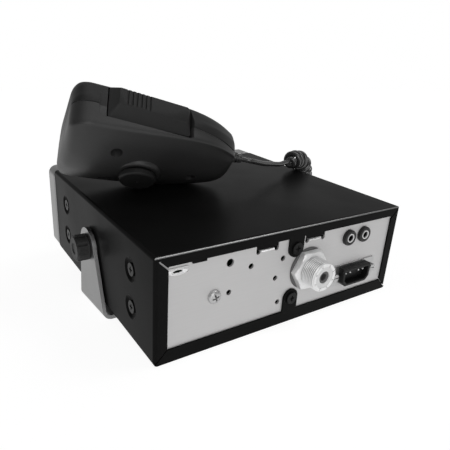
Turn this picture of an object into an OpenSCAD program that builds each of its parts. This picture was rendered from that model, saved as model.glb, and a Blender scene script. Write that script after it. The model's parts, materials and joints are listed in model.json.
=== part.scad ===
// Mobile two-way radio in a tilting bracket, with a hand microphone on a curly cord.
// Millimetres, +Z up. Origin: middle of the underside of the bracket base.
// The radio is modelled level with its rear face at y = 0; in_bracket() then tips it about the pivot.

/* [Case] */
// Width over the covers
case_w = 156; // [154:1:160]
// Depth from the rear flange to the bezel
case_d = 144; // [142:1:148]
// Height over the covers
case_h = 53; // [52:0.5:56]
// Thickness of the cover sheet
sheet = 1; // [0.8:0.1:1.2]
// Outside bend radius of the covers
bend_r = 1.8; // [1.4:0.1:2.2]
// Width of the rear flange along the top
flange_top = 5.2; // [4.8:0.2:5.6]
// Width of the rear flange at the sides
flange_side = 6.4; // [5.8:0.2:7]
// Width of the rear flange along the bottom
flange_low = 6.8; // [6.2:0.2:7.2]
// Gap between the sheets where two covers meet
cover_gap = 0.4; // [0.2:0.1:0.6]
// Width of the screw tabs of the rear flanges
tab_w = 9.6; // [8.6:0.2:10.4]
// Sideways place of the screw tabs
tab_x = -0.6; // [-1:0.1:0]
// Screw of the upper tab, below the top of the case
tab_drop = 10.8; // [10.4:0.1:11.2]
// Height of the screw in the lower tab
tab_low_z = 14.2; // [13.4:0.2:15]

/* [Case screws] */
// Depth of the dish under each side screw
dish_d = 1.4; // [1:0.1:1.6]
// Radius of the dish at the surface
dish_r = 6; // [5.4:0.2:6.6]
// Distance of the rear side screws from the rear face
screw_rear_y = 25; // [20:1:30]
// Distance of the front side screws from the rear face
screw_front_y = 122; // [116:1:126]
// Height of the upper side screws
screw_high_z = 36.8; // [35:0.2:38]
// Height of the lower side screws
screw_low_z = 17.4; // [17:0.2:19]
// Shank radius of the case screws
screw_r = 1.5; // [1.3:0.1:1.6]
// Head radius of the case screws
screw_head_r = 3.2; // [2.8:0.1:3.5]
// Head height of the case screws
screw_head_h = 1.2; // [0.9:0.1:1.4]
// Sideways place of the screws in the lower cover
floor_screw_x = 69; // [67:0.5:70]

/* [Bracket] */
// Thickness of the bracket strip
strap = 2; // [1.6:0.1:2.4]
// Depth of the bracket at its base
strap_w = 38.6; // [37:0.2:42]
// Outside bend radius of the bracket
strap_bend_r = 4.5; // [3.6:0.1:5]
// Radius of the leg around the pivot
leg_r = 10.5; // [9.4:0.1:11.5]
// Height of the pivot over the table
pivot_h = 36.3; // [36.2:0.1:38]
// Distance of the pivot from the rear face
pivot_y = 77; // [76:0.2:78]
// Height of the pivot in the radio
pivot_z = 28; // [27.8:0.1:28]
// Front-up tilt of the radio in degrees
radio_tilt = 6; // [5:0.1:6]
// Spacing of the base holes along the strip
base_hole_x = 90; // [60:1:110]
// Spacing of the base holes across the strip
base_hole_y = 14; // [12:0.5:15]
// Radius of the base holes
base_hole_r = 2.5; // [2:0.1:3]
// Thickness of the pivot washers
washer_t = 0.8; // [0.6:0.1:1.2]
// Outer radius of the pivot washers
washer_r = 8.5; // [7.5:0.1:9.5]
// Radius of the knob studs
stud_r = 2.95; // [2.6:0.05:3.1]
// Grip radius of the bracket knobs
grip_r = 7.2; // [6.6:0.1:8]
// Length of the bracket knobs
grip_l = 7; // [6:0.2:9]

/* [Rear panel] */
// Thickness of the rear panel
panel_t = 1.2; // [1:0.1:1.5]
// Height of the antenna socket above the middle of the two tab screws
antenna_rise = 0.6; // [0.4:0.1:0.8]
// Gap between the antenna washer and the upper screw tab
antenna_gap = 0.1; // [0.1:0.05:0.5]
// Thread radius of the antenna socket
antenna_r = 7.9375; // [7.8:0.0125:8]
// How far the antenna socket stands out of the rear face
antenna_l = 12; // [11:0.2:14]
// Distance across the flats of the antenna nut
antenna_nut_af = 20; // [19:0.5:21]
// Radius of the antenna washer
antenna_washer_r = 11.6; // [11.2:0.1:12]
// Bore radius of the antenna contact
contact_r = 2; // [1.8:0.05:2.2]
// Sideways place of the first jack
jack_x = 37.9; // [37:0.1:39]
// Spacing of the two jacks
jack_pitch = 11.7; // [11:0.1:13]
// Jacks, below the top of the case
jack_drop = 12.4; // [12:0.1:13.5]
// Radius of the jack nuts
jack_nut_r = 4.4; // [4.2:0.1:4.9]
// Bore radius of the jacks
jack_r = 1.8; // [1.5:0.05:2.1]
// Sideways place of the power socket
power_x = 45.3; // [44.6:0.1:46]
// Height of the power socket
power_z = 18.4; // [17.8:0.1:19]
// Width of the power socket shroud
power_w = 22.6; // [21:0.2:23]
// Height of the power socket shroud
power_h = 11.4; // [11:0.2:12]
// How far the power socket stands out of the panel
power_l = 3.6; // [3:0.2:5]
// Distance between the power socket screws
power_screw_w = 29.8; // [29:0.2:31]
// Radius of the panel screw head
panel_screw_r = 3.9; // [3.4:0.1:4.2]

/* [Front] */
// Depth of the bezel
bezel_d = 13; // [12.5:0.5:15]
// How far the bezel stands proud of the covers
bezel_proud = 0.5; // [0.2:0.1:0.5]
// Corner radius of the bezel
bezel_r = 5; // [4.4:0.2:6]
// Width of the border in front of the faceplate
bezel_lip = 4.5; // [4:0.1:5]
// Thickness of the bezel border
bezel_lip_t = 2; // [1.6:0.1:2.4]
// Thickness of the faceplate
face_t = 3; // [2.6:0.1:3.2]
// Radius of the channel knob
channel_r = 14; // [12:0.5:15]
// Length of the channel knob
channel_l = 15; // [12:0.5:18]
// Radius of the volume and squelch knobs
small_knob_r = 7; // [6:0.2:8]
// Length of the volume and squelch knobs
small_knob_l = 12; // [10:0.5:15]
// Radius of the knob spindles
spindle_r = 2.95; // [2.6:0.05:3]
// Width of the push buttons
button_w = 9; // [7.6:0.2:9.6]
// Height of the push buttons
button_h = 5; // [4.4:0.2:5.6]
// Travel of the push buttons
button_travel = 0.8; // [0.5:0.1:0.9]
// Width of the display
display_w = 48; // [44:0.5:49]
// Height of the display
display_h = 20; // [18:0.5:20.5]

/* [Hand microphone] */
// Width of the body
mic_w = 59; // [58:0.5:60]
// Width of the cord end
mic_tail_w = 24; // [23:0.5:25]
// Length from the hang button to the head end
mic_head_l = 39.5; // [39:0.5:41]
// Length from the hang button to the cord end
mic_tail_l = 54.5; // [53.5:0.5:55.5]
// Thickness of the head end at its shoulder
mic_t = 27.8; // [27.4:0.1:28.4]
// Rise of the domed back over the shoulder
mic_dome = 7.6; // [7:0.1:8]
// Height of the seam between the shells
mic_seam = 14.6; // [14.3:0.1:15]
// Wall thickness of the shells
mic_wall = 2.2; // [1.8:0.1:2.4]
// Radius of the hang button
hang_r = 9.7; // [9:0.1:10.5]
// Height of the hang button over its collar
hang_rise = 4.1; // [4:0.1:5]
// Lean of the microphone against the case top in degrees
mic_lean = 139.6; // [138:0.2:141]
// Dip of the cord end in degrees
mic_dip = 12.9; // [12:0.1:14]
// Turn of the microphone seen from above in degrees
mic_yaw = -13.6; // [-15:0.1:-12]
// Travel of the talk bar in degrees
ptt_travel = 4; // [2:0.5:4]

/* [Microphone cord] */
// Thickness of the cord
wire_d = 3.2; // [3:0.1:3.3]
// Outside diameter of the curls
curl_d = 13; // [12.4:0.1:13]
// Pitch of the curls on the inside of a bend
curl_pitch = 3.75; // [3.75:0.05:4.2]
// Least gap wanted between neighbouring curls
curl_gap = 0.4; // [0.4:0.05:0.5]

/* [Fits] */
// Running clearance of a spindle in its hole, on the radius
run_clear = 0.05; // [0.02:0.01:0.1]
// Clearance of a screw or thread in its hole, on the radius
hole_clear = 0.2; // [0.1:0.05:0.3]
// Gap between parts that move past each other
move_gap = 0.4; // [0.3:0.05:0.5]

/* [Hidden] */
$fn = 40;

// case, from the sizes above
half_w = case_w/2;
inner_x = half_w - sheet;
chassis_x = inner_x - dish_d;
chassis_t = 1.2;
cover_low = sheet + cover_gap;
cover_lip = 0.3;
tab_high_z = case_h - tab_drop;
tab_reach = 5;
tab_round_z = tab_high_z - tab_reach + tab_w/2;
catch_x0 = -60;
catch_x1 = -53;
catch_t = 1.1;
panel_y0 = sheet;
panel_y1 = sheet + panel_t;
pivot_nut_x = 71;
pivot_nut_r = 6;
lip_z = 27;
lip_t = 1.2;
lip_x = 65;
board_z = lip_z + lip_t;
board_t = 1.6;
board_x = 70;
board_y0 = 13;
wall_y1 = case_d - 0.8;
wall_y0 = wall_y1 - chassis_t;
return_t = sheet;
return_x = chassis_x + 0.2;
return_z = 9.5;
screw_l = 4;
foot_x = 63;

// bracket
leg_x0 = half_w + washer_t;
leg_x1 = leg_x0 + strap;
stud_end = pivot_nut_x + 0.4;
stud_hole_r = stud_r + 0.3;

// rear panel, as [x, z, radius] of the plain holes
panel_holes = [[-39.9, 42.3, 2], [-27.7, 37.8, 1.5], [-8, 37.7, 1.5],
    [-11.8, 27.7, 1.4], [-39.6, 27, 1.4], [-8.7, 13.3, 1.4]];
panel_slot = [-66.8, case_h - 8.7];
panel_slot_l = 10;
panel_slot_r = 1.2;
panel_screw = [-47.9, 27.2];
clip_x = [-18.5, 12.5];
clip_half = 6.8;
clip_slot_w = 2.5;
clip_slot_z = case_h - 10;
clip_fold_z = case_h - 8.2;
clip_top_z = case_h - 3.6;
clip_fold_half = 3.9;
panel_low = sheet + 0.2;
panel_high = case_h - bend_r - sheet/2 - 0.1;
jack_z = case_h - jack_drop;
antenna_z = (tab_high_z + tab_low_z)/2 + antenna_rise;
antenna_reach = antenna_washer_r + tab_w/2 + antenna_gap;
antenna_x = tab_x + sqrt(pow(antenna_reach, 2) - pow(tab_round_z - antenna_z, 2));
socket_base = 2;
thread_relief = 0.9;
nut_end = 3.6;

// front
bezel_y1 = case_d + bezel_d;
face_y1 = bezel_y1 - bezel_lip_t;
face_y0 = face_y1 - face_t;
face_inset = bezel_lip - 1.5;
board_front = face_y0 - 5.8;
board_back = board_front - board_t;
knob_y = face_y1 + 0.6;
channel_at = [-52, case_h/2 - 0.5];
volume_at = [36, case_h - 17];
squelch_at = [36, 15];
display_at = [-2, case_h - 19];
button_z = 14;
scan_x = 16;
button_pitch = 12;
socket_at = [60, 20];
socket_r = 7.8;
socket_l = 9;
plug_y0 = face_y1 + 2;
plug_ring_l = 16;
plug_ring_r = 10.2;
plug_tail_y = 204;

// hand microphone
mic_at = [-54.2, 70.6];
mic_rest = 0.3;
mic_taper_l = -2;
mic_taper = 3;
mic_drop = 10;
mic_bow = 1.5;
dome_head = 20;
dome_tail = 12;
head_corner = 9;
tail_corner = 4;
mic_edge = 4;
mic_cuts = [-1, -0.98, -0.93, -0.8, -0.5, -0.15, 0.12, 0.36, 0.55, 0.73, 0.88, 0.96, 1];
mic_core_cuts = [-1, -0.85, -0.3, 0.2, 0.6, 0.85, 1];
mic_holes = [[-15, 15.4], [-15, -15.4], [30.2, 0]];
mic_boss_r = 4;
mic_screw_t = 19;
mic_screw_r = 1.25;
mic_screw_head_r = 2.4;
relief_t = 9.6;
relief_r = 4.2;
relief_l = 9;
collar_r = 11.3;
collar_rise = 0.8;
collar_l = collar_rise + 2*mic_wall;
collar_t = mic_shoulder(0) + mic_dome + collar_rise;
hang_t = collar_t + hang_rise;
hang_plate = 3.7;
hang_neck_r = 6.2;
hang_stem_r = 3;
ptt_at = [19.5, 23.8];
ptt_slant = 3.4;
ptt_l = 44;
ptt_out = 4;
ptt_in = 1.5;
ptt_t0 = 2.8;
ptt_t1 = 20;
ptt_step = 12.4;
ptt_gap = 0.6;
ptt_rim = 1.2;
ptt_slope_head = 5;
ptt_slope_tail = 1.1;
ptt_window_in = 5.4;
switch_top = 20.8;
element_at = [-22, 0];
element_r = 10;
element_t = 7;
mic_board_t = mic_wall + element_t;
mic_board_x0 = -35;
mic_board_x1 = 12;
mic_board_half = 9;
mic_arm_x0 = -9;
mic_arm_x1 = 8;
mic_arm_y1 = 20;

// route of the straight stretches and of the curl axis, millimetres in the part's own frame
lead_route = [[14.843, -8.766, 77.041], [18.633, -9.584, 76.057], [22.423, -10.403, 75.073],
    [35, -6, 72], [45, -2.2, 70.4], [54.16, 0.8, 69.08], [60.06, 2.8, 69.28], [63.6, 4, 69.4]];
curl_route = [[63.6, 4, 69.4], [69.5, 6, 69.6], [75.4, 8, 69.8], [81.2, 9.8, 68.6], [85.7, 11.4, 64.6],
    [88.4, 13.2, 58.6], [91, 15.8, 50], [94.4, 19.4, 39.4], [97.8, 24, 29], [100.8, 30.6, 19],
    [103, 40, 11.6], [104, 51.6, 8], [104.4, 64, 7], [103.8, 79, 7], [102, 94, 7], [101, 107, 7],
    [100, 120, 7]];
plug_route = [[100, 120, 7], [99.7, 123.9, 7], [99.4, 127.8, 7], [98, 135.4, 4.6], [93.4, 145, 2],
    [86, 152.6, 2], [79, 157.4, 4.2], [73, 158.6, 10.4], [68, 157, 19.6], [64.4, 152.6, 29.6],
    [61.8, 146.6, 38], [60.3, 139.6, 42.2], [60, 132.11, 42.14], [60, 127.14, 41.62]];
wire_r = wire_d/2;
curl_r = (curl_d - wire_d)/2;
wire_sides = 8;
curl_sides = 6;
curl_rings = 8;
lead_steps = 5;
axis_steps = 14;
bend_span = 6;
end_turns = 0.5;
open_turns = 1.4;

// Placing and drawing helpers

module in_bracket() {
    translate([0, 0, pivot_h]) rotate([radio_tilt, 0, 0]) translate([0, -pivot_y, -pivot_z]) children();
}

module along_x(x0, x1) {
    translate([x0, 0, 0]) rotate([90, 0, 90]) linear_extrude(height = x1 - x0) children();
}

module along_y(y0, y1) {
    translate([0, y1, 0]) rotate([90, 0, 0]) linear_extrude(height = y1 - y0) children();
}

module rod_x(y, z, x0, x1, r) {
    translate([x0, y, z]) rotate([0, 90, 0]) cylinder(h = x1 - x0, r = r);
}

module rod_y(x, z, y0, y1, r) {
    translate([x, y0, z]) rotate([-90, 0, 0]) cylinder(h = y1 - y0, r = r);
}

module box(x0, x1, y0, y1, z0, z1) {
    translate([x0, y0, z0]) cube([x1 - x0, y1 - y0, z1 - z0]);
}

module both_sides() {
    children();
    mirror([1, 0, 0]) children();
}

module block(x0, x1, y0, y1) {
    translate([x0, y0]) square([x1 - x0, y1 - y0]);
}

// rectangle with four round corners
module round_block(x0, x1, y0, y1, r) {
    block(x0 + r, x1 - r, y0, y1);
    block(x0, x1, y0 + r, y1 - r);
    for (x = [x0 + r, x1 - r]) for (y = [y0 + r, y1 - r]) translate([x, y]) circle(r);
}

// rectangle with its two upper corners round
module hat(x0, x1, y0, y1, r) {
    block(x0, x1, y0, y1 - r);
    block(x0 + r, x1 - r, y0, y1);
    for (x = [x0 + r, x1 - r]) translate([x, y1 - r]) circle(r);
}

module slot_y(x, z, l, r, y0, y1) {
    along_y(y0, y1) {
        block(x - l/2 + r, x + l/2 - r, z - r, z + r);
        for (s = [-1, 1]) translate([x + s*(l/2 - r), z]) circle(r);
    }
}

// Bracket

module bracket() {
    color("silver") difference() {
        intersection() {
            along_y(-strap_w/2, strap_w/2) difference() {
                mirror([0, 1]) hat(-leg_x1, leg_x1, -pivot_h - leg_r, 0, strap_bend_r);
                translate([0, strap]) mirror([0, 1])
                    hat(-leg_x0, leg_x0, -pivot_h - leg_r - strap, 0, strap_bend_r - strap);
            }
            along_x(-leg_x1, leg_x1) {
                polygon([[-strap_w/2, 0], [strap_w/2, 0], [leg_r, pivot_h], [-leg_r, pivot_h]]);
                translate([0, pivot_h]) circle(leg_r);
            }
        }
        for (x = [-1, 1]) for (y = [-1, 1])
            translate([x*base_hole_x/2, y*base_hole_y/2, -1]) cylinder(h = strap + 2, r = base_hole_r);
        both_sides() rod_x(0, pivot_h, leg_x0 - 1, leg_x1 + 1, stud_hole_r);
    }
}

module bracket_washers() {
    color("dimgray") both_sides() difference() {
        rod_x(0, pivot_h, half_w, leg_x0, washer_r);
        rod_x(0, pivot_h, half_w - 1, leg_x0 + 1, stud_r + 0.5);
    }
}

module side_knob() {
    flutes = 9;
    translate([leg_x1, 0, pivot_h]) rotate([0, 90, 0]) difference() {
        rotate_extrude() polygon([[0, 0], [grip_r - 0.4, 0], [grip_r, 0.4], [grip_r, grip_l - 1],
            [grip_r - 1, grip_l], [3.4, grip_l], [2.8, grip_l - 0.5], [0, grip_l - 0.5]]);
        for (i = [0:flutes - 1]) rotate([0, 0, i*360/flutes])
            translate([grip_r + 1.1, 0, 1.2]) cylinder(h = grip_l, r = 1.7);
    }
}

module side_stud() {
    rod_x(0, pivot_h, stud_end, leg_x1, stud_r);
}

module right_knob() {
    color("black") side_knob();
}

module right_knob_stud() {
    color("silver") side_stud();
}

module left_knob() {
    color("black") mirror([1, 0, 0]) side_knob();
}

module left_knob_stud() {
    color("silver") mirror([1, 0, 0]) side_stud();
}

// Covers

module cover_form(inset, r) {
    intersection() {
        along_y(inset, case_d) hat(-half_w + inset, half_w - inset, -1, case_h - inset, r);
        along_x(-half_w, half_w) {
            block(inset + r, case_d, -1, case_h - inset);
            block(inset, inset + 2*r, -1, case_h - inset - r);
            translate([inset + r, case_h - inset - r]) circle(r);
        }
        translate([0, 0, -1]) linear_extrude(height = case_h + 2)
            mirror([0, 1]) hat(-half_w + inset, half_w - inset, -case_d, -inset, r);
    }
}

module side_screw_points() {
    for (y = [screw_rear_y, screw_front_y]) for (z = [screw_low_z, screw_high_z]) translate([0, y,
        z]) children();
}

module tab_outline(z0, z1, down) {
    end = down ? z0 + tab_w/2 : z1 - tab_w/2;
    block(tab_x - tab_w/2, tab_x + tab_w/2, down ? end : z0, down ? z1 : end);
    translate([tab_x, end]) circle(tab_w/2);
}

module upper_cover() {
    color("#202020") in_bracket() difference() {
        union() {
            difference() {
                cover_form(0, bend_r);
                cover_form(sheet, bend_r - sheet/2);
                box(-half_w - 1, half_w + 1, -1, case_d + 1, -2, cover_low + cover_lip);
                box(-inner_x, inner_x, case_d - 1, case_d + 1, -2, case_h - sheet);
                along_y(-1, sheet + 0.5)
                    block(-half_w + flange_side, half_w - flange_side, -1, case_h - flange_top);
                both_sides() along_y(-1, sheet + 0.5) polygon([[-half_w - 1, -1], [-half_w - 1, 0],
                    [-half_w + flange_side + 1, flange_low + cover_gap + 0.4 + 1],
                    [-half_w + flange_side + 1, -1]]);
                both_sides() along_y(-1, sheet + 0.5) polygon([[-half_w + bend_r, case_h - bend_r - 0.5],
                    [-half_w + bend_r + 0.5, case_h - bend_r],
                    [-half_w + flange_side + 1, case_h - flange_side - 0.5],
                    [-half_w + flange_side + 0.5, case_h - flange_side - 1]]);
            }
            along_y(0, sheet) tab_outline(tab_high_z - tab_reach, case_h - flange_top + 1, true);
            along_y(0, sheet)
                block(catch_x0, catch_x1, case_h - flange_top - catch_t, case_h - flange_top + 1);
            both_sides() side_screw_points()
                rotate([0, 90, 0]) translate([0, 0, chassis_x]) cylinder(h = dish_d, r1 = dish_r - 1,
                    r2 = dish_r + 0.6);
        }
        both_sides() side_screw_points() rotate([0, 90, 0]) {
            translate([0, 0, half_w - dish_d]) cylinder(h = dish_d, r1 = dish_r - 1.9, r2 = dish_r);
            translate([0, 0, half_w - 0.01]) cylinder(h = 1, r = dish_r);
            translate([0, 0, chassis_x - 1]) cylinder(h = 4, r = screw_r + hole_clear);
        }
        both_sides() rod_x(pivot_y, pivot_z, inner_x - 1, half_w + 1, stud_r + 0.5);
        rod_y(tab_x, tab_high_z, -1, sheet + 1, screw_r + hole_clear);
    }
}

module floor_screw_points() {
    for (x = [-1, 1]) for (y = [screw_rear_y, screw_front_y]) translate([x*floor_screw_x, y,
        0]) children();
}

module lower_cover() {
    speaker_slots = 9;
    color("#242424") in_bracket() difference() {
        union() {
            along_y(0, case_d) intersection() {
                translate([0, sheet]) mirror([0, 1]) hat(-half_w, half_w, -5, sheet, bend_r);
                block(-half_w, half_w, 0, sheet);
            }
            along_y(0, sheet) {
                intersection() {
                    translate([0, sheet]) mirror([0, 1]) hat(-half_w, half_w, -5 - flange_low, sheet,
                        bend_r);
                    polygon([[-half_w, 0], [half_w, 0], [half_w - flange_side, flange_low],
                        [-half_w + flange_side, flange_low]]);
                }
                tab_outline(0, tab_low_z + 4.8, false);
            }
            both_sides() box(return_x, return_x + return_t, sheet + 3, case_d - 4, sheet/2, return_z);
        }
        for (i = [0:speaker_slots - 1]) translate([0, pivot_y - 5 + (i - (speaker_slots - 1)/2)*6, 0])
            let (l = 2*sqrt(29*29 - pow((i - (speaker_slots - 1)/2)*6, 2)))
            translate([-l/2, -1.2, -1]) cube([l, 2.4, sheet + 2]);
        floor_screw_points() translate([0, 0, -1]) cylinder(h = sheet + 2, r = screw_r + hole_clear);
        rod_y(tab_x, tab_low_z, -1, sheet + 1, screw_r + hole_clear);
    }
}

module case_screw() {
    difference() {
        union() {
            cylinder(h = screw_head_h, r = screw_head_r);
            translate([0, 0, -screw_l]) cylinder(h = screw_l + 0.5, r = screw_r);
        }
        for (a = [0, 90]) rotate([0, 0, a]) translate([-1.6, -0.4, screw_head_h - 0.8]) cube([3.2, 0.8,
            1]);
    }
}

module cover_screws() {
    color("#181818") in_bracket() {
        both_sides() side_screw_points() translate([half_w - dish_d, 0, 0]) rotate([0, 90,
            0]) case_screw();
        for (z = [tab_low_z, tab_high_z]) translate([tab_x, 0, z]) rotate([90, 0, 0]) case_screw();
        floor_screw_points() rotate([180, 0, 0]) case_screw();
    }
}

// Chassis and inside

module chassis() {
    color("#9a9a98") in_bracket() difference() {
        union() {
            both_sides() {
                box(chassis_x - chassis_t, chassis_x, panel_y1, wall_y1, sheet, case_h - 3);
                box(foot_x, chassis_x, panel_y1 + 4, wall_y1, sheet, sheet + chassis_t);
                box(lip_x, chassis_x, board_y0, pivot_y - 12, lip_z, board_z);
                box(lip_x, chassis_x, pivot_y + 12, wall_y1, lip_z, board_z);
                rod_x(pivot_y, pivot_z, pivot_nut_x, chassis_x, pivot_nut_r);
                for (z = [8, case_h - 9]) rod_y(71, z, wall_y1 - 1, board_back, 2.4);
            }
            box(-chassis_x, chassis_x, wall_y0, wall_y1, sheet, case_h - 3);
        }
        both_sides() rod_x(pivot_y, pivot_z, pivot_nut_x - 1, chassis_x + 1, stud_r + run_clear);
        both_sides() side_screw_points() rotate([0, 90, 0]) translate([0, 0, chassis_x - 3])
            cylinder(h = 4, r = screw_r + run_clear);
        floor_screw_points() cylinder(h = sheet + 3, r = screw_r + run_clear);
        along_y(wall_y0 - 1, wall_y1 + 1) round_block(-50, 50, 8, 22, 3);
    }
}

module main_board() {
    color("#1f5a34") in_bracket() box(-board_x, board_x, board_y0, wall_y0 - 0.4, board_z,
        board_z + board_t);
}

board_top = board_z + board_t;
can_points = [[-50, 40], [-50, 58], [-50, 76], [-32, 40], [-32, 58], [30, 96], [46, 96]];
can_w = 11;
can_h = 14;
core_r = 2;

module tuning_cans() {
    color("silver") in_bracket() for (p = can_points) difference() {
        box(p[0] - can_w/2, p[0] + can_w/2, p[1] - can_w/2, p[1] + can_w/2, board_top, board_top + can_h);
        translate([p[0], p[1], board_top + can_h - core_r]) cylinder(h = core_r + 1, r = core_r);
    }
}

// as [x, y, radius]
capacitor_points = [[10, 40, 6], [26, 40, 5], [26, 56, 5], [54, 40, 7], [0, 90, 4]];
capacitor_h = 8;

module capacitors() {
    color("#20304a") in_bracket() for (p = capacitor_points)
        translate([p[0], p[1], board_top]) cylinder(h = capacitor_h + p[2], r = p[2]);
}

speaker_r = 36;
speaker_y = pivot_y - 5;
speaker_h = 15;
cone_r = 30;
cone_neck_r = 12;
basket_r = 18;
basket_t = 1.4;
magnet_h = 8;

module speaker_part() {
    in_bracket() translate([0, speaker_y, sheet]) rotate_extrude() children();
}

module speaker_frame() {
    color("#3a3a3a") speaker_part() polygon([[cone_r, 0], [speaker_r, 0], [speaker_r, 2],
        [speaker_r - 2.6, 2], [basket_r, speaker_h - 2], [basket_r, speaker_h], [0, speaker_h],
        [0, speaker_h - basket_t], [basket_r - basket_t, speaker_h - basket_t],
        [cone_r + basket_t, 2*basket_t], [cone_r, 1.6]]);
}

module speaker_cone() {
    neck_h = speaker_h - 5;
    color("#151515") speaker_part() polygon([[cone_r, 1], [cone_r, 1.6], [cone_r + 1.3, 2*basket_t - 0.1],
        [cone_r - 0.4, 3.2], [cone_neck_r, neck_h], [0, neck_h + 1.4], [0, neck_h + 0.6],
        [cone_neck_r - 0.4, neck_h - 0.8], [cone_r - 1.4, 2.4]]);
}

module speaker_magnet() {
    color("#555555") in_bracket() translate([0, speaker_y, sheet + speaker_h])
        cylinder(h = magnet_h, r = basket_r);
}

// Rear panel and its sockets

module rear_panel() {
    color("#c4c4c2") in_bracket() difference() {
        union() {
            along_y(panel_y0, panel_y1) block(-chassis_x + 0.2, chassis_x - 0.2, panel_low, panel_high);
            slot_y(panel_slot[0], panel_slot[1], panel_slot_l + 1.6, panel_slot_r + 0.8,
                panel_y0 - 0.4, panel_y1);
            rod_y(panel_screw[0], panel_screw[1], panel_y0, panel_y1 + 3, 3.2);
            for (x = clip_x) box(x - clip_fold_half, x + clip_fold_half, panel_y0, panel_y1 + 3,
                clip_fold_z - 0.8, clip_fold_z);
        }
        slot_y(panel_slot[0], panel_slot[1], panel_slot_l, panel_slot_r, -1, panel_y1 + 1);
        for (h = panel_holes) rod_y(h[0], h[1], -1, panel_y1 + 1, h[2]);
        rod_y(panel_screw[0], panel_screw[1], -1, panel_y1 + 4, screw_r + run_clear);
        for (x = clip_x) {
            box(x - clip_half, x + clip_half, -1, panel_y1 + 0.5, clip_fold_z, clip_top_z);
            for (s = [-1, 1]) along_y(-1, panel_y1 + 0.5) translate([x + s*(clip_half - clip_slot_w/2),
                0]) {
                block(-clip_slot_w/2, clip_slot_w/2, clip_slot_z + clip_slot_w/2, clip_fold_z + 1);
                translate([0, clip_slot_z + clip_slot_w/2]) circle(clip_slot_w/2);
            }
        }
        for (z = [tab_low_z, tab_high_z]) rod_y(tab_x, z, -1, panel_y1 + 1, screw_r + run_clear);
        rod_y(antenna_x, antenna_z, -1, panel_y1 + 1, antenna_r + hole_clear);
        for (i = [0, 1]) rod_y(jack_x + i*jack_pitch, jack_z, -1, panel_y1 + 1, jack_bush_r + hole_clear);
        box(power_x - power_core_w/2, power_x + power_core_w/2, -1, panel_y1 + 1,
            power_z - power_core_h/2, power_z + power_core_h/2);
        for (s = [-1, 1]) rod_y(power_x + s*power_screw_w/2, power_z, -1, panel_y1 + 1,
            power_screw_r + run_clear);
    }
}

module rear_panel_screw() {
    h = 2.4;
    color("silver") in_bracket() translate([panel_screw[0], panel_y0, panel_screw[1]]) rotate([90, 0, 0])
        difference() {
            union() {
                rotate_extrude() polygon([[0, 0], [panel_screw_r, 0], [panel_screw_r, 0.9],
                    [panel_screw_r - 0.5, 1.7],
                    [panel_screw_r - 1.5, h], [0, h]]);
                translate([0, 0, -5]) cylinder(h = 5.5, r = screw_r);
            }
            for (a = [0, 90]) rotate([0, 0, a + 15]) translate([-2.2, -0.5, h - 1.3]) cube([4.4, 1, 2]);
        }
}

// socket pieces are turned about an axis that points out of the rear face
module at_rear(x, z) {
    in_bracket() translate([x, 0, z]) rotate([90, 0, 0]) children();
}

module antenna_socket() {
    notches = 8;
    inner = antenna_r - 2.2;
    color("silver") at_rear(antenna_x, antenna_z) difference() {
        rotate_extrude() polygon([[inner, antenna_l - 0.2], [inner, -panel_y1 - socket_base - 4],
            [antenna_r + 2.6, -panel_y1 - socket_base - 4], [antenna_r + 2.6, -panel_y1],
            [antenna_r - thread_relief, -panel_y1],
            [antenna_r - thread_relief, nut_end], [antenna_r, nut_end], [antenna_r, antenna_l - 0.3],
            [antenna_r - 0.3, antenna_l],
            [inner + 0.2, antenna_l]]);
        for (i = [0:notches - 1]) rotate([0, 0, i*360/notches])
            translate([inner - 1, -0.7, antenna_l - 1.1]) cube([2.4, 1.4, 2]);
    }
}

module antenna_nut() {
    color("silver") at_rear(antenna_x, antenna_z) translate([0, 0, 0.8 - panel_y0]) difference() {
        cylinder(h = 3.4, r = antenna_nut_af/2/cos(30), $fn = 6);
        translate([0, 0, -1]) cylinder(h = 6, r = antenna_r - thread_relief + run_clear);
    }
}

module antenna_washer() {
    color("silver") at_rear(antenna_x, antenna_z) translate([0, 0, -panel_y0]) difference() {
        cylinder(h = 0.8, r = antenna_washer_r);
        translate([0, 0, -1]) cylinder(h = 3, r = antenna_r + hole_clear);
    }
}

module antenna_insulator() {
    inner = antenna_r - 2.2;
    color("#4a4a48") at_rear(antenna_x, antenna_z) rotate_extrude() polygon([[contact_r + 0.9,
        -panel_y1 - 6],
        [inner, -panel_y1 - 6], [inner, antenna_l - 1.4], [inner - 1, antenna_l - 1.4], [inner - 1,
            antenna_l - 0.4],
        [contact_r + 1.3, antenna_l - 0.4], [contact_r + 1.3, antenna_l - 3], [contact_r + 0.9,
            antenna_l - 3]]);
}

module antenna_contact() {
    color("#b09a50") at_rear(antenna_x, antenna_z) difference() {
        translate([0, 0, -panel_y1 - 9]) cylinder(h = panel_y1 + 9 + antenna_l - 3, r = contact_r + 0.9);
        translate([0, 0, antenna_l - 14]) cylinder(h = 14, r = contact_r);
    }
}

jack_bush_r = 3.6;
jack_out = 2.6;

module jack_sockets() {
    color("#303030") for (i = [0, 1]) at_rear(jack_x + i*jack_pitch, jack_z) difference() {
        union() {
            translate([-4.6, -4.6, -panel_y1 - 9]) cube([9.2, 9.2, 9]);
            translate([0, 0, -panel_y1 - 1]) cylinder(h = panel_y1 + 1 + jack_out - 0.4, r = jack_bush_r);
        }
        translate([0, 0, -panel_y1 - 8]) cylinder(h = panel_y1 + 12, r = jack_r);
    }
}

module jack_nuts() {
    color("#1a1a1a") for (i = [0, 1]) at_rear(jack_x + i*jack_pitch, jack_z)
        rotate_extrude() polygon([[jack_bush_r + run_clear, -panel_y0], [jack_nut_r, -panel_y0],
            [jack_nut_r, jack_out - 0.6], [jack_nut_r - 0.6, jack_out], [jack_bush_r + run_clear,
                jack_out]]);
}

power_core_w = power_w - 2;
power_core_h = power_h - 2;
power_wall = 1.6;
power_deep = 9;
power_plate_t = 0.8;
power_screw_r = 1.2;

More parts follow.
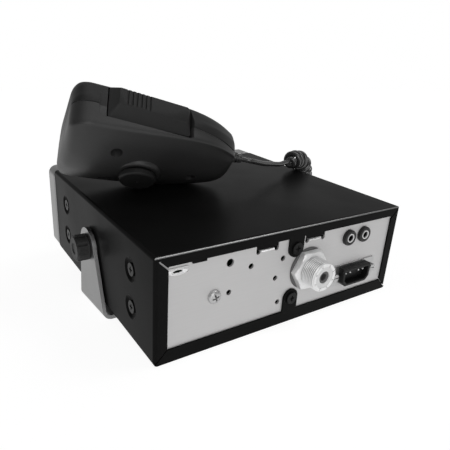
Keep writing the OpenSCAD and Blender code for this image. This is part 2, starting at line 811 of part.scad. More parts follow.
module power_socket() {
    hw = power_w/2;
    hh = power_h/2;
    cw = hw - power_wall;
    ch = hh - power_wall;
    cut = 2.6;
    color("#141414") at_rear(power_x, power_z) difference() {
        union() {
            translate([0, 0, power_plate_t - panel_y0]) linear_extrude(height = power_l - power_plate_t)
                polygon([[-hw, hh], [hw, hh], [hw, -hh + cut], [hw - cut, -hh], [-hw + cut, -hh], [-hw,
                    -hh + cut]]);
            translate([-power_core_w/2 + hole_clear, -power_core_h/2 + hole_clear,
                -panel_y1 - power_deep])
                cube([power_core_w - 2*hole_clear, power_core_h - 2*hole_clear, power_deep + panel_y1]);
        }
        translate([0, 0, -panel_y1 - power_deep + 2]) linear_extrude(height = 30)
            polygon([[-cw, ch], [cw, ch], [cw, -ch + cut], [cw - cut, -ch], [-cw + cut, -ch], [-cw,
                -ch + cut]]);
    }
}

module power_plate() {
    w = power_screw_w + 5.6;
    h = power_h + 1;
    color("silver") at_rear(power_x, power_z) translate([0, 0, -panel_y0]) difference() {
        linear_extrude(height = power_plate_t) round_block(-w/2, w/2, -h/2, h/2, 2);
        translate([-power_core_w/2, -power_core_h/2, -1]) cube([power_core_w, power_core_h, 3]);
        for (s = [-1, 1]) translate([s*power_screw_w/2, 0, -1]) cylinder(h = 3,
            r = power_screw_r + run_clear);
    }
}

module power_pins() {
    color("#b0a070") at_rear(power_x, power_z) for (i = [-1.5, -0.5, 0.5, 1.5])
        translate([i*4.4 - 0.5, 1.4, -panel_y1 - power_deep + 2]) cube([1, 1, power_deep - 3]);
}

module power_screws() {
    color("silver") at_rear(power_x, power_z) for (s = [-1, 1]) translate([s*power_screw_w/2, 0,
        -panel_y0])
        difference() {
            union() {
                translate([0, 0, power_plate_t]) cylinder(h = 2.2, r = 2.3, $fn = 6);
                translate([0, 0, -4]) cylinder(h = 6, r = power_screw_r);
            }
            translate([-3, -0.3, power_plate_t + 1.5]) cube([6, 0.6, 2]);
        }
}

// Front

module front_bezel() {
    out_x = half_w + bezel_proud;
    color("#c9c9c7") in_bracket() difference() {
        along_y(case_d, bezel_y1) round_block(-out_x, out_x, -bezel_proud, case_h + bezel_proud, bezel_r);
        along_y(case_d - 1, bezel_y1 + 1)
            round_block(-half_w + bezel_lip, half_w - bezel_lip, bezel_lip, case_h - bezel_lip,
                bezel_r - 1.5);
        along_y(case_d - 1, face_y1)
            round_block(-half_w + face_inset, half_w - face_inset, face_inset, case_h - face_inset,
                bezel_r - 1);
    }
}

module faceplate() {
    fit = face_inset + 0.1;
    dx = display_w/2;
    dz = display_h/2;
    color("#181818") in_bracket() difference() {
        along_y(face_y0, face_y1) round_block(-half_w + fit, half_w - fit, fit, case_h - fit,
            bezel_r - 1);
        for (p = [channel_at, volume_at, squelch_at])
            rod_y(p[0], p[1], face_y0 - 1, face_y1 + 1, bush_r + hole_clear);
        rod_y(socket_at[0], socket_at[1], face_y0 - 1, face_y1 + 1, socket_r + hole_clear);
        translate([display_at[0], 0, display_at[1]]) {
            along_y(face_y1 - 1.6, face_y1 + 1) round_block(-dx - 0.1, dx + 0.1, -dz - 0.1, dz + 0.1,
                1.6);
            along_y(face_y0 - 1, face_y1) block(-dx + 1.6, dx - 1.6, -dz + 1.6, dz - 1.6);
        }
        for (i = [0:3]) translate([scan_x - i*button_pitch, 0, button_z])
            along_y(face_y0 - 1, face_y1 + 1) block(-button_w/2 - move_gap, button_w/2 + move_gap,
                -button_h/2 - move_gap, button_h/2 + move_gap);
    }
}

module display_lens() {
    color("#203038") in_bracket() translate([display_at[0], 0, display_at[1]]) along_y(face_y1 - 1.6,
        face_y1)
        round_block(-display_w/2, display_w/2, -display_h/2, display_h/2, 1.5);
}

module display_module() {
    color("#2c3a30") in_bracket() translate([display_at[0], 0, display_at[1]])
        along_y(board_front, face_y0) block(-display_w/2 - 1, display_w/2 + 1, -display_h/2 - 1,
            display_h/2 + 1);
}

module front_board() {
    color("#1f5a34") in_bracket() difference() {
        box(-half_w + 5, half_w - 5, board_back, board_front, 5, case_h - 5);
        rod_y(socket_at[0], socket_at[1], board_back - 1, board_front + 1, socket_r + hole_clear);
    }
}

bush_r = spindle_r + 1.3;

// grip knob on a spindle that runs in a bush; axis points out of the front
module at_front(p) {
    in_bracket() translate([p[0], knob_y, p[1]]) rotate([-90, 0, 0]) children();
}

module grip_knob(r, l, flutes, flute_r) {
    difference() {
        union() {
            rotate_extrude() polygon([[0, 0], [r, 0], [r, 2], [r - 0.6, 2.6], [r - 1, l - 1.2],
                [r - 2.2, l], [0, l]]);
            translate([0, 0, face_y0 - knob_y - 3]) cylinder(h = knob_y - face_y0 + 4, r = spindle_r);
        }
        for (i = [0:flutes - 1]) rotate([0, 0, (i + 0.5)*360/flutes])
            translate([r - 0.6 + flute_r*0.5, 0, 3]) cylinder(h = l, r = flute_r);
        translate([-0.5, -r + 1.5, l - 0.5]) cube([1, r - 3, 1]);
    }
}

module shaft_body(p, side) {
    color("#7a7a78") in_bracket() translate([p[0], 0, p[1]]) difference() {
        union() {
            along_y(board_front, face_y0 - 0.2) block(-side/2, side/2, -side/2, side/2);
            rod_y(0, 0, face_y0 - 1, face_y1, bush_r);
        }
        rod_y(0, 0, face_y0 - 3.4, face_y1 + 1, spindle_r + run_clear);
    }
}

module channel_knob() {
    color("#1c1c1c") at_front(channel_at) grip_knob(channel_r, channel_l, 20, 1.4);
}

module channel_encoder() {
    shaft_body(channel_at, 14);
}

module volume_knob() {
    color("#1c1c1c") at_front(volume_at) grip_knob(small_knob_r, small_knob_l, 14, 1);
}

module volume_pot() {
    shaft_body(volume_at, 12);
}

module squelch_knob() {
    color("#1c1c1c") at_front(squelch_at) grip_knob(small_knob_r, small_knob_l, 14, 1);
}

module squelch_pot() {
    shaft_body(squelch_at, 12);
}

module push_button(i) {
    color("#3c3c3c") in_bracket() translate([scan_x - i*button_pitch, 0, button_z]) {
        along_y(face_y0 - 0.2, face_y1 + 2) block(-button_w/2, button_w/2, -button_h/2, button_h/2);
        along_y(face_y0 - 1.4, face_y0 - 0.2) block(-button_w/2 - 1, button_w/2 + 1, -button_h/2 - 1,
            button_h/2 + 1);
    }
}

module scan_button() {
    push_button(0);
}

module band_button() {
    push_button(1);
}

module up_button() {
    push_button(2);
}

module down_button() {
    push_button(3);
}

module button_switches() {
    color("#222222") in_bracket() for (i = [0:3]) translate([scan_x - i*button_pitch, 0, button_z]) {
        along_y(board_front, board_front + 2.6) block(-3, 3, -3, 3);
        rod_y(0, 0, board_front + 2, face_y0 - 1.5 - button_travel, 1.7);
    }
}

module mic_socket() {
    pin = 0.9;
    color("silver") in_bracket() translate([socket_at[0], 0, socket_at[1]]) {
        difference() {
            union() {
                rod_y(0, 0, board_back - 0.4, face_y1 + socket_l, socket_r);
                rod_y(0, 0, board_front, face_y0, socket_r + 2.4);
            }
            rod_y(0, 0, face_y0, face_y1 + socket_l + 1, socket_r - 1.5);
        }
        for (a = [45:90:315]) rotate([0, a, 0]) rod_y(3, 0, face_y0 - 1, face_y0 + 2.4, pin);
    }
}

// Plug on the front of the radio

module at_plug() {
    in_bracket() translate([socket_at[0], 0, socket_at[1]]) rotate([-90, 0, 0]) children();
}

module mic_plug() {
    ring_end = plug_y0 + plug_ring_l;
    color("#b8b8b6") at_plug() rotate_extrude() polygon([[0, face_y0 + 3],
        [socket_r - 1.5 - hole_clear, face_y0 + 3],
        [socket_r - 1.5 - hole_clear, face_y1 + socket_l + 0.5], [socket_r - 0.2,
            face_y1 + socket_l + 0.5],
        [socket_r - 0.2, ring_end - 3], [socket_r - 1.2, ring_end - 3], [socket_r - 1.2, ring_end + 0.6],
        [socket_r + 0.6, ring_end + 1], [socket_r + 0.6, ring_end + 10], [socket_r - 1.6, ring_end + 14],
        [4.6, ring_end + 14.4], [4.2, ring_end + 18], [3, plug_tail_y], [0, plug_tail_y]]);
}

module mic_plug_ring() {
    ring_end = plug_y0 + plug_ring_l;
    grooves = 24;
    color("#d0d0ce") at_plug() difference() {
        rotate_extrude() polygon([[socket_r + move_gap, plug_y0], [plug_ring_r - 0.6, plug_y0],
            [plug_ring_r, plug_y0 + 0.6], [plug_ring_r, ring_end - 1.2], [plug_ring_r - 1, ring_end],
            [socket_r - 1.2 + move_gap, ring_end], [socket_r - 1.2 + move_gap, ring_end - 2.6],
            [socket_r + move_gap, ring_end - 2.6]]);
        for (i = [0:grooves - 1]) rotate([0, 0, i*360/grooves])
            translate([plug_ring_r + 0.3, 0, plug_y0 + 4]) cylinder(h = 7, r = 0.7);
    }
}

// Hand microphone: x runs to the cord end, y to the talk bar, z to the back; front face at z = 0

function corner(d, r) = d >= r ? 0 : r - sqrt(max(0, r*r - (r - d)*(r - d)));

function mic_l(c) = c < 0 ? c*mic_head_l : c*mic_tail_l;

function mic_half(l) = mic_w/2
    - (mic_w - mic_tail_w)/2*pow(max(0, l - mic_taper_l)/(mic_tail_l - mic_taper_l), mic_taper)
    - corner(l + mic_head_l, head_corner) - corner(mic_tail_l - l, tail_corner);

function mic_shoulder(l) = let (f = (l + mic_head_l)/(mic_head_l + mic_tail_l))
    mic_t - mic_drop*f + 4*mic_bow*f*(1 - f);

// the back's dome runs out in a quarter round at both ends
function dome_at(l) = mic_dome
    *sqrt(1 - pow(1 - min(1, (l + mic_head_l)/dome_head, (mic_tail_l - l)/dome_tail), 2));

// one side of a section as [across, height]; d sets it inward
function mic_side(l, d) =
    let (w = mic_half(l) - d, s = mic_shoulder(l) - d, h = dome_at(l),
        e = corner(min(l + mic_head_l, mic_tail_l - l), mic_edge), f = d + e, b = s - e)
    [[w - 8 + d, f], [w - 4.6 + d/2, f + 1], [w - 2.6, f + 3.6], [w - 0.8, max(9, f + 5)],
        [w, max(12, f + 6)], [w - 0.3, b - 5], [w - 1, b - 1.8], [w - 3.5, b],
        [w*0.72, b + h*0.4], [w*0.5, b + h*0.7], [w*0.25, b + h*0.93], [0, b + h]];

function mic_section(l, d) = let (s = mic_side(l, d))
    concat([for (p = s) [l, p[0], p[1]]], [for (p = s) [l, -p[0], p[1]]]);

function mic_points(cuts, d) = [for (c = cuts) each mic_section(mic_l(c)*(1 - d/mic_tail_l), d)];

mic_up = [-sin(mic_dip), sin(mic_lean)*cos(mic_dip), cos(mic_lean)*cos(mic_dip)];
mic_low = min(min([for (p = mic_points(mic_cuts, 0)) p*mic_up]),
    hang_t*mic_up[2] - hang_r*sqrt(mic_up[0]*mic_up[0] + mic_up[1]*mic_up[1]));

module at_mic() {
    in_bracket() translate([mic_at[0], mic_at[1], case_h + mic_rest - mic_low + hang_t*mic_up[2]])
        rotate([mic_lean, mic_dip, mic_yaw]) translate([0, 0, -hang_t]) children();
}

module mic_form(cuts, d) {
    k = 1 - d/mic_tail_l;
    for (i = [0:len(cuts) - 2]) let (p = concat(mic_section(mic_l(cuts[i])*k, d),
        mic_section(mic_l(cuts[i + 1])*k, d)))
        hull() polyhedron(points = p, faces = [[for (j = [0:len(p) - 1]) j]]);
}

module mic_half_space(t0, t1) {
    translate([-mic_head_l - 20, -mic_w, t0]) cube([mic_head_l + mic_tail_l + 40, 2*mic_w, t1 - t0]);
}

module at_ptt() {
    translate([ptt_at[0], ptt_at[1], 0]) rotate([0, 0, -ptt_slant]) children();
}

module ptt_window() {
    at_ptt() translate([-ptt_l - ptt_gap, -ptt_window_in, ptt_t0 - ptt_gap])
        cube([ptt_l + 2*ptt_gap, 30, ptt_t1 - ptt_t0 + 2*ptt_gap]);
}

// talk bar as [along, out]; its hinge end is round
module ptt_plan() {
    polygon([[-ptt_l, -ptt_in], [-ptt_in, -ptt_in], [-ptt_in, 0], [0, 0], [-ptt_slope_tail, ptt_out],
        [-ptt_l + ptt_slope_head, ptt_out], [-ptt_l, ptt_rim]]);
    translate([-ptt_in, 0]) circle(ptt_in);
}

// talk bar as [out, height], with its slope to the back
module ptt_profile() {
    polygon([[-ptt_in - 1, ptt_t0], [ptt_rim, ptt_t0], [ptt_out + 1, ptt_t0 + 0.5],
        [ptt_out + 1, ptt_step - 1], [ptt_rim, ptt_t1], [-ptt_in - 1, ptt_t1]]);
}

module relief_hole(r) {
    translate([mic_tail_l - 8, 0, relief_t]) rotate([0, 90, 0]) cylinder(h = 12, r = r);
}

module mic_front_shell() {
    slots = 6;
    color("#262626") at_mic() difference() {
        union() {
            difference() {
                intersection() {
                    mic_form(mic_cuts, 0);
                    mic_half_space(-1, mic_seam);
                }
                mic_form(mic_core_cuts, mic_wall);
            }
            for (p = mic_holes) translate([p[0], p[1], 1]) cylinder(h = mic_seam - 1,
                r = mic_boss_r - 0.4);
        }
        ptt_window();
        relief_hole(relief_r);
        for (i = [0:slots - 1]) translate([element_at[0] - 9, (i - (slots - 1)/2)*3.4 - 0.8, -1])
            cube([18, 1.6, mic_wall + 2]);
        for (p = mic_holes) translate([p[0], p[1], 6]) cylinder(h = mic_t, r = mic_screw_r + run_clear);
    }
}

module mic_back_shell() {
    color("#444444") at_mic() difference() {
        union() {
            difference() {
                intersection() {
                    mic_form(mic_cuts, 0);
                    mic_half_space(mic_seam, mic_t + 10);
                }
                mic_form(mic_core_cuts, mic_wall);
            }
            intersection() {
                for (p = mic_holes) translate([p[0], p[1], mic_seam]) cylinder(h = mic_t, r = mic_boss_r);
                mic_form(mic_cuts, 0);
            }
            translate([0, 0, collar_t - collar_l]) cylinder(h = collar_l, r = collar_r);
        }
        ptt_window();
        relief_hole(relief_r);
        translate([0, 0, mic_seam]) cylinder(h = mic_t, r = hang_stem_r);
        for (p = mic_holes) translate([p[0], p[1], 0]) {
            cylinder(h = mic_t + 10, r = mic_screw_r + hole_clear);
            translate([0, 0, mic_screw_t]) cylinder(h = mic_t, r = mic_screw_head_r + hole_clear);
        }
    }
}

module mic_ptt_bar() {
    grooves = 6;
    color("#202020") at_mic() at_ptt() difference() {
        union() {
            intersection() {
                linear_extrude(height = mic_t) ptt_plan();
                along_x(-ptt_l - 1, 1) ptt_profile();
            }
            translate([-ptt_l/2 - 1, -ptt_in - 0.8, ptt_step]) rotate([-90, 0, 0]) cylinder(h = 2,
                r = 1.6);
        }
        for (i = [0:grooves - 1]) translate([-ptt_l + ptt_slope_head + 4 + i*2.3, ptt_out - 0.9,
            ptt_t0 - 1])
            cube([1.1, 3, ptt_step - ptt_t0]);
    }
}

module mic_board() {
    color("#1f5a34") at_mic() translate([0, 0, mic_board_t]) linear_extrude(height = board_t) {
        block(mic_board_x0, mic_board_x1, -mic_board_half, mic_board_half);
        block(mic_arm_x0, mic_arm_x1, mic_board_half - 1, mic_arm_y1);
    }
}

module mic_element() {
    color("#8a8a88") at_mic() translate([element_at[0], element_at[1], mic_wall]) difference() {
        cylinder(h = element_t, r = element_r);
        translate([0, 0, -1]) cylinder(h = 1.6, r = element_r - 2);
    }
}

module mic_ptt_switch() {
    color("#303030") at_mic() translate([-7, switch_top - 13, mic_board_t + board_t]) cube([12, 13, 6.4]);
}

module mic_hang_button() {
    low = mic_seam + 6;
    plate_t = hang_t - hang_plate;
    color("#2e2e2e") at_mic() rotate_extrude() polygon([[0, low], [hang_stem_r - run_clear, low],
        [hang_stem_r - run_clear, collar_t], [hang_neck_r, collar_t], [hang_neck_r, plate_t],
        [hang_r - 0.6, plate_t], [hang_r, plate_t + 0.6], [hang_r, hang_t - 0.8],
        [hang_r - 0.8, hang_t], [0.9, hang_t], [0.6, hang_t - 0.4], [0, hang_t - 0.4]]);
}

module mic_shell_screws() {
    color("silver") at_mic() for (p = mic_holes) translate([p[0], p[1], mic_screw_t]) difference() {
        union() {
            cylinder(h = 1.8, r = mic_screw_head_r);
            translate([0, 0, 6 - mic_screw_t]) cylinder(h = mic_screw_t - 5, r = mic_screw_r);
        }
        for (a = [0, 90]) rotate([0, 0, a]) translate([-1.3, -0.3, 0.9]) cube([2.6, 0.6, 2]);
    }
}

module mic_strain_relief() {
    rings = 3;
    color("#1a1a1a") at_mic() translate([mic_tail_l, 0, relief_t]) rotate([0, 90,
        0]) rotate_extrude() difference() {
        polygon([[0, -5.4], [relief_r + 0.8, -5.4], [relief_r + 0.8, -4], [relief_r - 0.05, -4],
            [relief_r - 0.05, 0.4],
            [relief_r - 0.3, 1], [wire_r + 0.9, relief_l], [0, relief_l]]);
        for (i = [0:rings - 1]) block(wire_r + 0.9, relief_r + 2, 2 + i*2.2, 2.8 + i*2.2);
    }
}

// Cord

function unit(v) = v/norm(v);

// point on a smooth curve through three-coordinate points, u counted in points
function route_at(q, u) =
    let (n = len(q) - 1, i = min(floor(u), n - 1), f = u - i, a = q[i], b = q[i + 1],
        m = (i > 0 ? (b - q[i - 1])/2 : b - a), k = (i < n - 1 ? (q[i + 2] - a)/2 : b - a))
    (2*f*f*f - 3*f*f + 1)*a + (f*f*f - 2*f*f + f)*m + (3*f*f - 2*f*f*f)*b + (f*f*f - f*f)*k;

function route(q, steps) = [for (i = [0:(len(q) - 1)*steps]) route_at(q, i/steps)];

function headings(p) = [for (i = [0:len(p) - 1]) unit(p[min(i + 1, len(p) - 1)] - p[max(i - 1, 0)])];

// carries a side direction along the curve without twist
function carried(t, s) = [for (i = 0, n = unit(s - (s*t[0])*t[0]); i < len(t); i = i + 1,
    n = i < len(t) ? unit(n - (n*t[i])*t[i]) : n) n];

function tube_points(p, r, sides) = let (t = headings(p), s = carried(t, [0.3, 0.2, 0.9]))
    [for (i = [0:len(p) - 1]) let (b = cross(t[i], s[i]))
        for (k = [0:sides - 1]) p[i] + r*(cos(k*360/sides)*s[i] + sin(k*360/sides)*b)];

function tube_faces(n, sides) = concat(
    [[for (k = [0:sides - 1]) k]], [[for (k = [sides - 1:-1:0]) (n - 1)*sides + k]],
    [for (i = [0:n - 2]) for (k = [0:sides - 1]) let (a = i*sides + k, b = i*sides + (k + 1)%sides)
        each [[a, a + sides, b], [b, a + sides, b + sides]]]);

module tube(p, r, sides) {
    polyhedron(points = tube_points(p, r, sides), faces = tube_faces(len(p), sides));
}

axis_p = route(curl_route, axis_steps);
axis_t = headings(axis_p);
axis_s = carried(axis_t, [0.3, 0.2, 0.9]);
axis_n = len(axis_p) - 1;

// share of a turn made by each short step of the axis: the pitch widens where the axis bends
function axis_step(i) = norm(axis_p[i + 1] - axis_p[i]);

function axis_bend(i) = let (a = max(i - bend_span, 0), b = min(i + 1 + bend_span, axis_n))
    norm(axis_t[b] - axis_t[a])/norm(axis_p[b] - axis_p[a]);

function axis_turn(i) = 360*axis_step(i)*(1 - curl_r*axis_bend(i))/curl_pitch;

axis_phase = [for (i = 0, a = 0; i <= axis_n; a = a + (i < axis_n ? axis_turn(i) : 0), i = i + 1) [a, i]];
curl_turns = floor(axis_phase[axis_n][0]/360);
curl_last = curl_turns*curl_rings;
ring_phase = axis_phase[axis_n][0]/curl_last;

// each end is straight on the axis, then opens out to the full curl
function eased(f) = let (g = min(1, max(0, f))) g*g*(3 - 2*g);

function curl_open(j) = curl_r*eased((min(j, curl_last - j)/curl_rings - end_turns)/open_turns);

function between(q, u) = let (i = min(floor(u), axis_n - 1)) q[i] + (q[i + 1] - q[i])*(u - i);

function curl_centre(j) = let (a = j*ring_phase, u = lookup(a, axis_phase), t = unit(between(axis_t, u)),
        s = unit(between(axis_s, u) - (between(axis_s, u)*t)*t), b = cross(t, s))
    between(axis_p, u) + curl_open(j)*(cos(a)*s + sin(a)*b);

curl_centres = [for (j = [0:curl_last]) curl_centre(j)];
curl_run = [for (j = 0, a = 0; j <= curl_last;
    a = a + (j < curl_last ? norm(curl_centres[j + 1] - curl_centres[j]) : 0), j = j + 1) a];
curl_least = min([for (j = [0:curl_last]) for (k = [3:24])
    if (j + k <= curl_last && curl_run[j + k] - curl_run[j] > 3*wire_d)
        norm(curl_centres[j + k] - curl_centres[j]) - wire_d]);
echo(curls = curl_turns, least_gap = curl_least, wanted_gap = curl_gap,
    cord_length = curl_run[curl_last]);

module mic_lead() {
    color("#1c1c1c") tube(route(lead_route, lead_steps), wire_r, wire_sides);
}

module mic_curls() {
    color("#1c1c1c") tube(curl_centres, wire_r, curl_sides);
}

module plug_lead() {
    color("#1c1c1c") tube(route(plug_route, lead_steps), wire_r, wire_sides);
}

bracket();
bracket_washers();
left_knob();
left_knob_stud();
right_knob();
right_knob_stud();
upper_cover();
lower_cover();
cover_screws();
chassis();
rear_panel();
rear_panel_screw();
antenna_socket();
antenna_nut();
antenna_washer();
antenna_insulator();
antenna_contact();
jack_sockets();
jack_nuts();
power_socket();
power_plate();
power_pins();
power_screws();
front_bezel();
faceplate();
display_lens();
display_module();
front_board();
channel_knob();
channel_encoder();
volume_knob();
volume_pot();
squelch_knob();
squelch_pot();
scan_button();
band_button();
up_button();
down_button();
button_switches();
mic_socket();
main_board();
tuning_cans();
capacitors();
speaker_frame();
speaker_cone();
speaker_magnet();
mic_front_shell();
mic_back_shell();
mic_ptt_bar();
mic_ptt_switch();
mic_hang_button();
mic_shell_screws();
mic_element();
mic_board();
mic_strain_relief();
mic_lead();
mic_curls();
plug_lead();
mic_plug();
mic_plug_ring();
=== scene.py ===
"""Mobile two-way radio in its bracket, with the hand microphone lying on the case."""
import json
import math

import bmesh
import bpy
from mathutils import Matrix, Vector


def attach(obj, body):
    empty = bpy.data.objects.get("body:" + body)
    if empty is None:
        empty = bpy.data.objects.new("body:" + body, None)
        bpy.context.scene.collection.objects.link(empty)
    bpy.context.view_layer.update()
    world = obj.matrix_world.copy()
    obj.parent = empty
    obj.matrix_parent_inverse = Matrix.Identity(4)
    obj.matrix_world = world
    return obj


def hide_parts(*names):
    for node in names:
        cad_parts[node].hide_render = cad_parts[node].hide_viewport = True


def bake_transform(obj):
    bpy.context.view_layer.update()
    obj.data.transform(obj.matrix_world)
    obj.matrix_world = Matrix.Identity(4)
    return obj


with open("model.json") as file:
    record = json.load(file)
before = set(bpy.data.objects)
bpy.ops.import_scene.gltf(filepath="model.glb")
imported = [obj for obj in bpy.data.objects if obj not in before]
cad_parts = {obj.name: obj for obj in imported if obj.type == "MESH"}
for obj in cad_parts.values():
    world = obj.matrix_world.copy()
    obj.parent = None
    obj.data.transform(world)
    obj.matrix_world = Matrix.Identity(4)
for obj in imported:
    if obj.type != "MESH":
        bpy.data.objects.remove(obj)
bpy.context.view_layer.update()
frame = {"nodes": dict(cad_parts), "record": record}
scene = bpy.context.scene
scene.view_settings.view_transform = "Standard"

MM = 0.001

# The case is tipped in its bracket; case places are millimetres from its rear plane, floor and middle
CASE_TIP = math.radians(6)
TIP_CENTRE = Vector((0, 0, 36.3))
TIP_POINT = Vector((0, 77, 28))
CASE = (
    Matrix.Scale(MM, 4)
    @ Matrix.Translation(TIP_CENTRE)
    @ Matrix.Rotation(CASE_TIP, 4, "X")
    @ Matrix.Translation(-TIP_POINT)
)

# The microphone leans on the case: x runs to the cord end, y to the talk bar, z to the back
MIC_AT = Vector((-54.2, 70.6, 62.8557))
MIC_YAW = math.radians(-13.6)
MIC_DIP = math.radians(12.9)
MIC_LEAN = math.radians(139.6)
HANG_T = 37.5597
MIC = (
    CASE
    @ Matrix.Translation(MIC_AT)
    @ Matrix.Rotation(MIC_YAW, 4, "Z")
    @ Matrix.Rotation(MIC_DIP, 4, "Y")
    @ Matrix.Rotation(MIC_LEAN, 4, "X")
    @ Matrix.Translation((0, 0, -HANG_T))
)


# Nodes

def add_node(tree, kind, inputs=None, **settings):
    """A shader node with its settings; each input takes a value or another node's socket."""
    node = tree.nodes.new("ShaderNode" + kind)
    for name, value in settings.items():
        setattr(node, name, value)
    for key, value in (inputs or {}).items():
        if isinstance(value, bpy.types.NodeSocket):
            tree.links.new(value, node.inputs[key])
        else:
            node.inputs[key].default_value = value
    return node


# Camera, light and floor

CAMERA_AT = (-0.1517, -0.2382, 0.1178)
CAMERA_FORWARD = Vector((0.5372, 0.7953, -0.2811))
CAMERA_UP = Vector((0.156, 0.2338, 0.9597))
CAMERA_LENS = 37.13
TENT_TOWARD = Vector((-0.52, -0.74, 0.36))
TENT_LIGHT, TENT_DIM = 0.5, 0.14
SOFT_BOX_TOWARD = Vector((0.1, -0.05, 0.99))
WORLD_FILL = 0.22
FLOOR_REACH = 30
PAPER_TONE = 0.9
PAPER_WHITE = 1.22
PAPER_SEEN, PAPER_MIRRORED = 0.75, 0.48


def photo_camera():
    camera = bpy.data.objects.new("photo_camera", bpy.data.cameras.new("photo_camera"))
    scene.collection.objects.link(camera)
    forward = CAMERA_FORWARD.normalized()
    right = forward.cross(CAMERA_UP).normalized()
    turn = Matrix((right, right.cross(forward), -forward)).transposed()
    camera.matrix_world = Matrix.Translation(CAMERA_AT) @ turn.to_4x4()
    camera.data.sensor_width = 36
    camera.data.lens = CAMERA_LENS
    camera.data.clip_start = 0.01
    scene.camera = camera


def soft_sun(name, toward, strength, spread):
    lamp = bpy.data.lights.new(name, "SUN")
    lamp.energy = strength
    lamp.angle = math.radians(spread)
    sun = bpy.data.objects.new(name, lamp)
    sun.rotation_euler = Vector(toward).to_track_quat("-Z", "Y").to_euler()
    scene.collection.objects.link(sun)


def studio_world():
    """White where the camera looks; elsewhere a dim tent, lighter past the front, with a soft box above."""
    world = bpy.data.worlds.new("studio")
    world.use_nodes = True
    tree = world.node_tree
    tree.nodes.clear()
    ray = add_node(tree, "LightPath").outputs
    place = add_node(tree, "TexCoord").outputs["Generated"]
    facing = add_node(tree, "VectorMath", {0: place, 1: TENT_TOWARD.normalized()}, operation="DOT_PRODUCT")
    tent = add_node(tree, "MapRange", {"Value": facing.outputs["Value"], "From Min": -0.7, "From Max": 0.2,
                                       "To Min": TENT_LIGHT, "To Max": TENT_DIM})
    above = add_node(tree, "VectorMath", {0: place, 1: SOFT_BOX_TOWARD.normalized()}, operation="DOT_PRODUCT")
    soft_box = add_node(tree, "MapRange",
                        {"Value": above.outputs["Value"], "From Min": 0.86, "From Max": 0.94})
    both = add_node(tree, "Math", {0: tent.outputs["Result"], 1: soft_box.outputs["Result"]})
    fill = add_node(tree, "Mix", {"Factor": ray["Is Glossy Ray"], "A": WORLD_FILL, "B": both.outputs[0]})
    seen = add_node(tree, "Math", {0: ray["Is Camera Ray"], 1: ray["Is Transmission Ray"]},
                    operation="MAXIMUM")
    level = add_node(tree, "Mix", {"Factor": seen.outputs[0], "A": fill.outputs["Result"], "B": 1})
    light = add_node(tree, "Background", {"Color": (1, 1, 1, 1), "Strength": level.outputs["Result"]})
    add_node(tree, "OutputWorld", {"Surface": light.outputs[0]})
    scene.world = world


def floor_paper():
    """White paper: the camera sees it nearly plain white with a light shadow, shiny faces less so."""
    paper = bpy.data.materials.new("floor paper")
    paper.use_nodes = True
    tree = paper.node_tree
    tree.nodes.clear()
    ray = add_node(tree, "LightPath").outputs
    mirrored = add_node(tree, "Math", {0: ray["Is Glossy Ray"], 1: PAPER_MIRRORED}, operation="MULTIPLY")
    share = add_node(tree, "Math", {0: ray["Is Camera Ray"], 1: PAPER_SEEN, 2: mirrored.outputs[0]},
                     operation="MULTIPLY_ADD")
    lit = add_node(tree, "BsdfDiffuse", {"Color": (PAPER_TONE, PAPER_TONE, PAPER_TONE, 1)})
    white = add_node(tree, "Emission", {"Strength": PAPER_WHITE})
    paint = add_node(tree, "MixShader", {"Fac": share.outputs[0], 1: lit.outputs[0], 2: white.outputs[0]})
    add_node(tree, "OutputMaterial", {"Surface": paint.outputs[0]})
    return paper


def pale_floor():
    """A wide floor that lets the bounce light through from below."""
    mesh = bpy.data.meshes.new("pale_floor")
    r = FLOOR_REACH
    mesh.from_pydata([(-r, -r, 0), (r, -r, 0), (r, r, 0), (-r, r, 0)], [], [(0, 1, 2, 3)])
    floor = bpy.data.objects.new("pale_floor", mesh)
    scene.collection.objects.link(floor)
    mesh.materials.append(floor_paper())
    floor.visible_shadow = False


photo_camera()
studio_world()
soft_sun("key", (0.25, 0.9, -0.36), 0.75, 40)
soft_sun("bounce", (0.3, 0.85, 0.4), 1.3, 50)
soft_sun("overhead", (-0.54, 0.28, -0.8), 0.4, 22)
pale_floor()


# Shader groups: grain, smudges, brushed lines and a painted highlight along a bend, sized in millimetres

def group(name, values, outputs):
    tree = bpy.data.node_groups.new(name, "ShaderNodeTree")
    for label, value in values:
        socket = tree.interface.new_socket(label, in_out="INPUT", socket_type="NodeSocketFloat")
        socket.default_value = value
    for label in outputs:
        tree.interface.new_socket(label, in_out="OUTPUT", socket_type="NodeSocketFloat")
    return tree, tree.nodes.new("NodeGroupInput"), tree.nodes.new("NodeGroupOutput")


def per_metre(tree, size):
    """Noise scale for a feature size in millimetres."""
    return add_node(tree, "Math", {0: 1/MM, 1: size}, operation="DIVIDE").outputs[0]


def noise(tree, place, scale, detail):
    return add_node(tree, "TexNoise", {"Vector": place, "Scale": scale, "Detail": detail}).outputs["Fac"]


def spread_out(tree, value, low, high):
    """Stretches a noise value between low and high to the full range."""
    return add_node(tree, "MapRange", {"Value": value, "From Min": low, "From Max": high},
                    interpolation_type="SMOOTHSTEP").outputs["Result"]


def own_place(tree):
    return add_node(tree, "TexCoord").outputs["Object"]


def grain_group():
    tree, given, out = group("moulded grain", [("Size", 0.5)], ["Height", "Mask"])
    value = noise(tree, own_place(tree), per_metre(tree, given.outputs["Size"]), 3)
    tree.links.new(value, out.inputs["Height"])
    tree.links.new(spread_out(tree, value, 0.35, 0.65), out.inputs["Mask"])
    return tree


def smudge_group():
    tree, given, out = group("handling smudges", [("Size", 30)], ["Mask"])
    value = noise(tree, own_place(tree), per_metre(tree, given.outputs["Size"]), 5)
    tree.links.new(spread_out(tree, value, 0.35, 0.68), out.inputs["Mask"])
    return tree


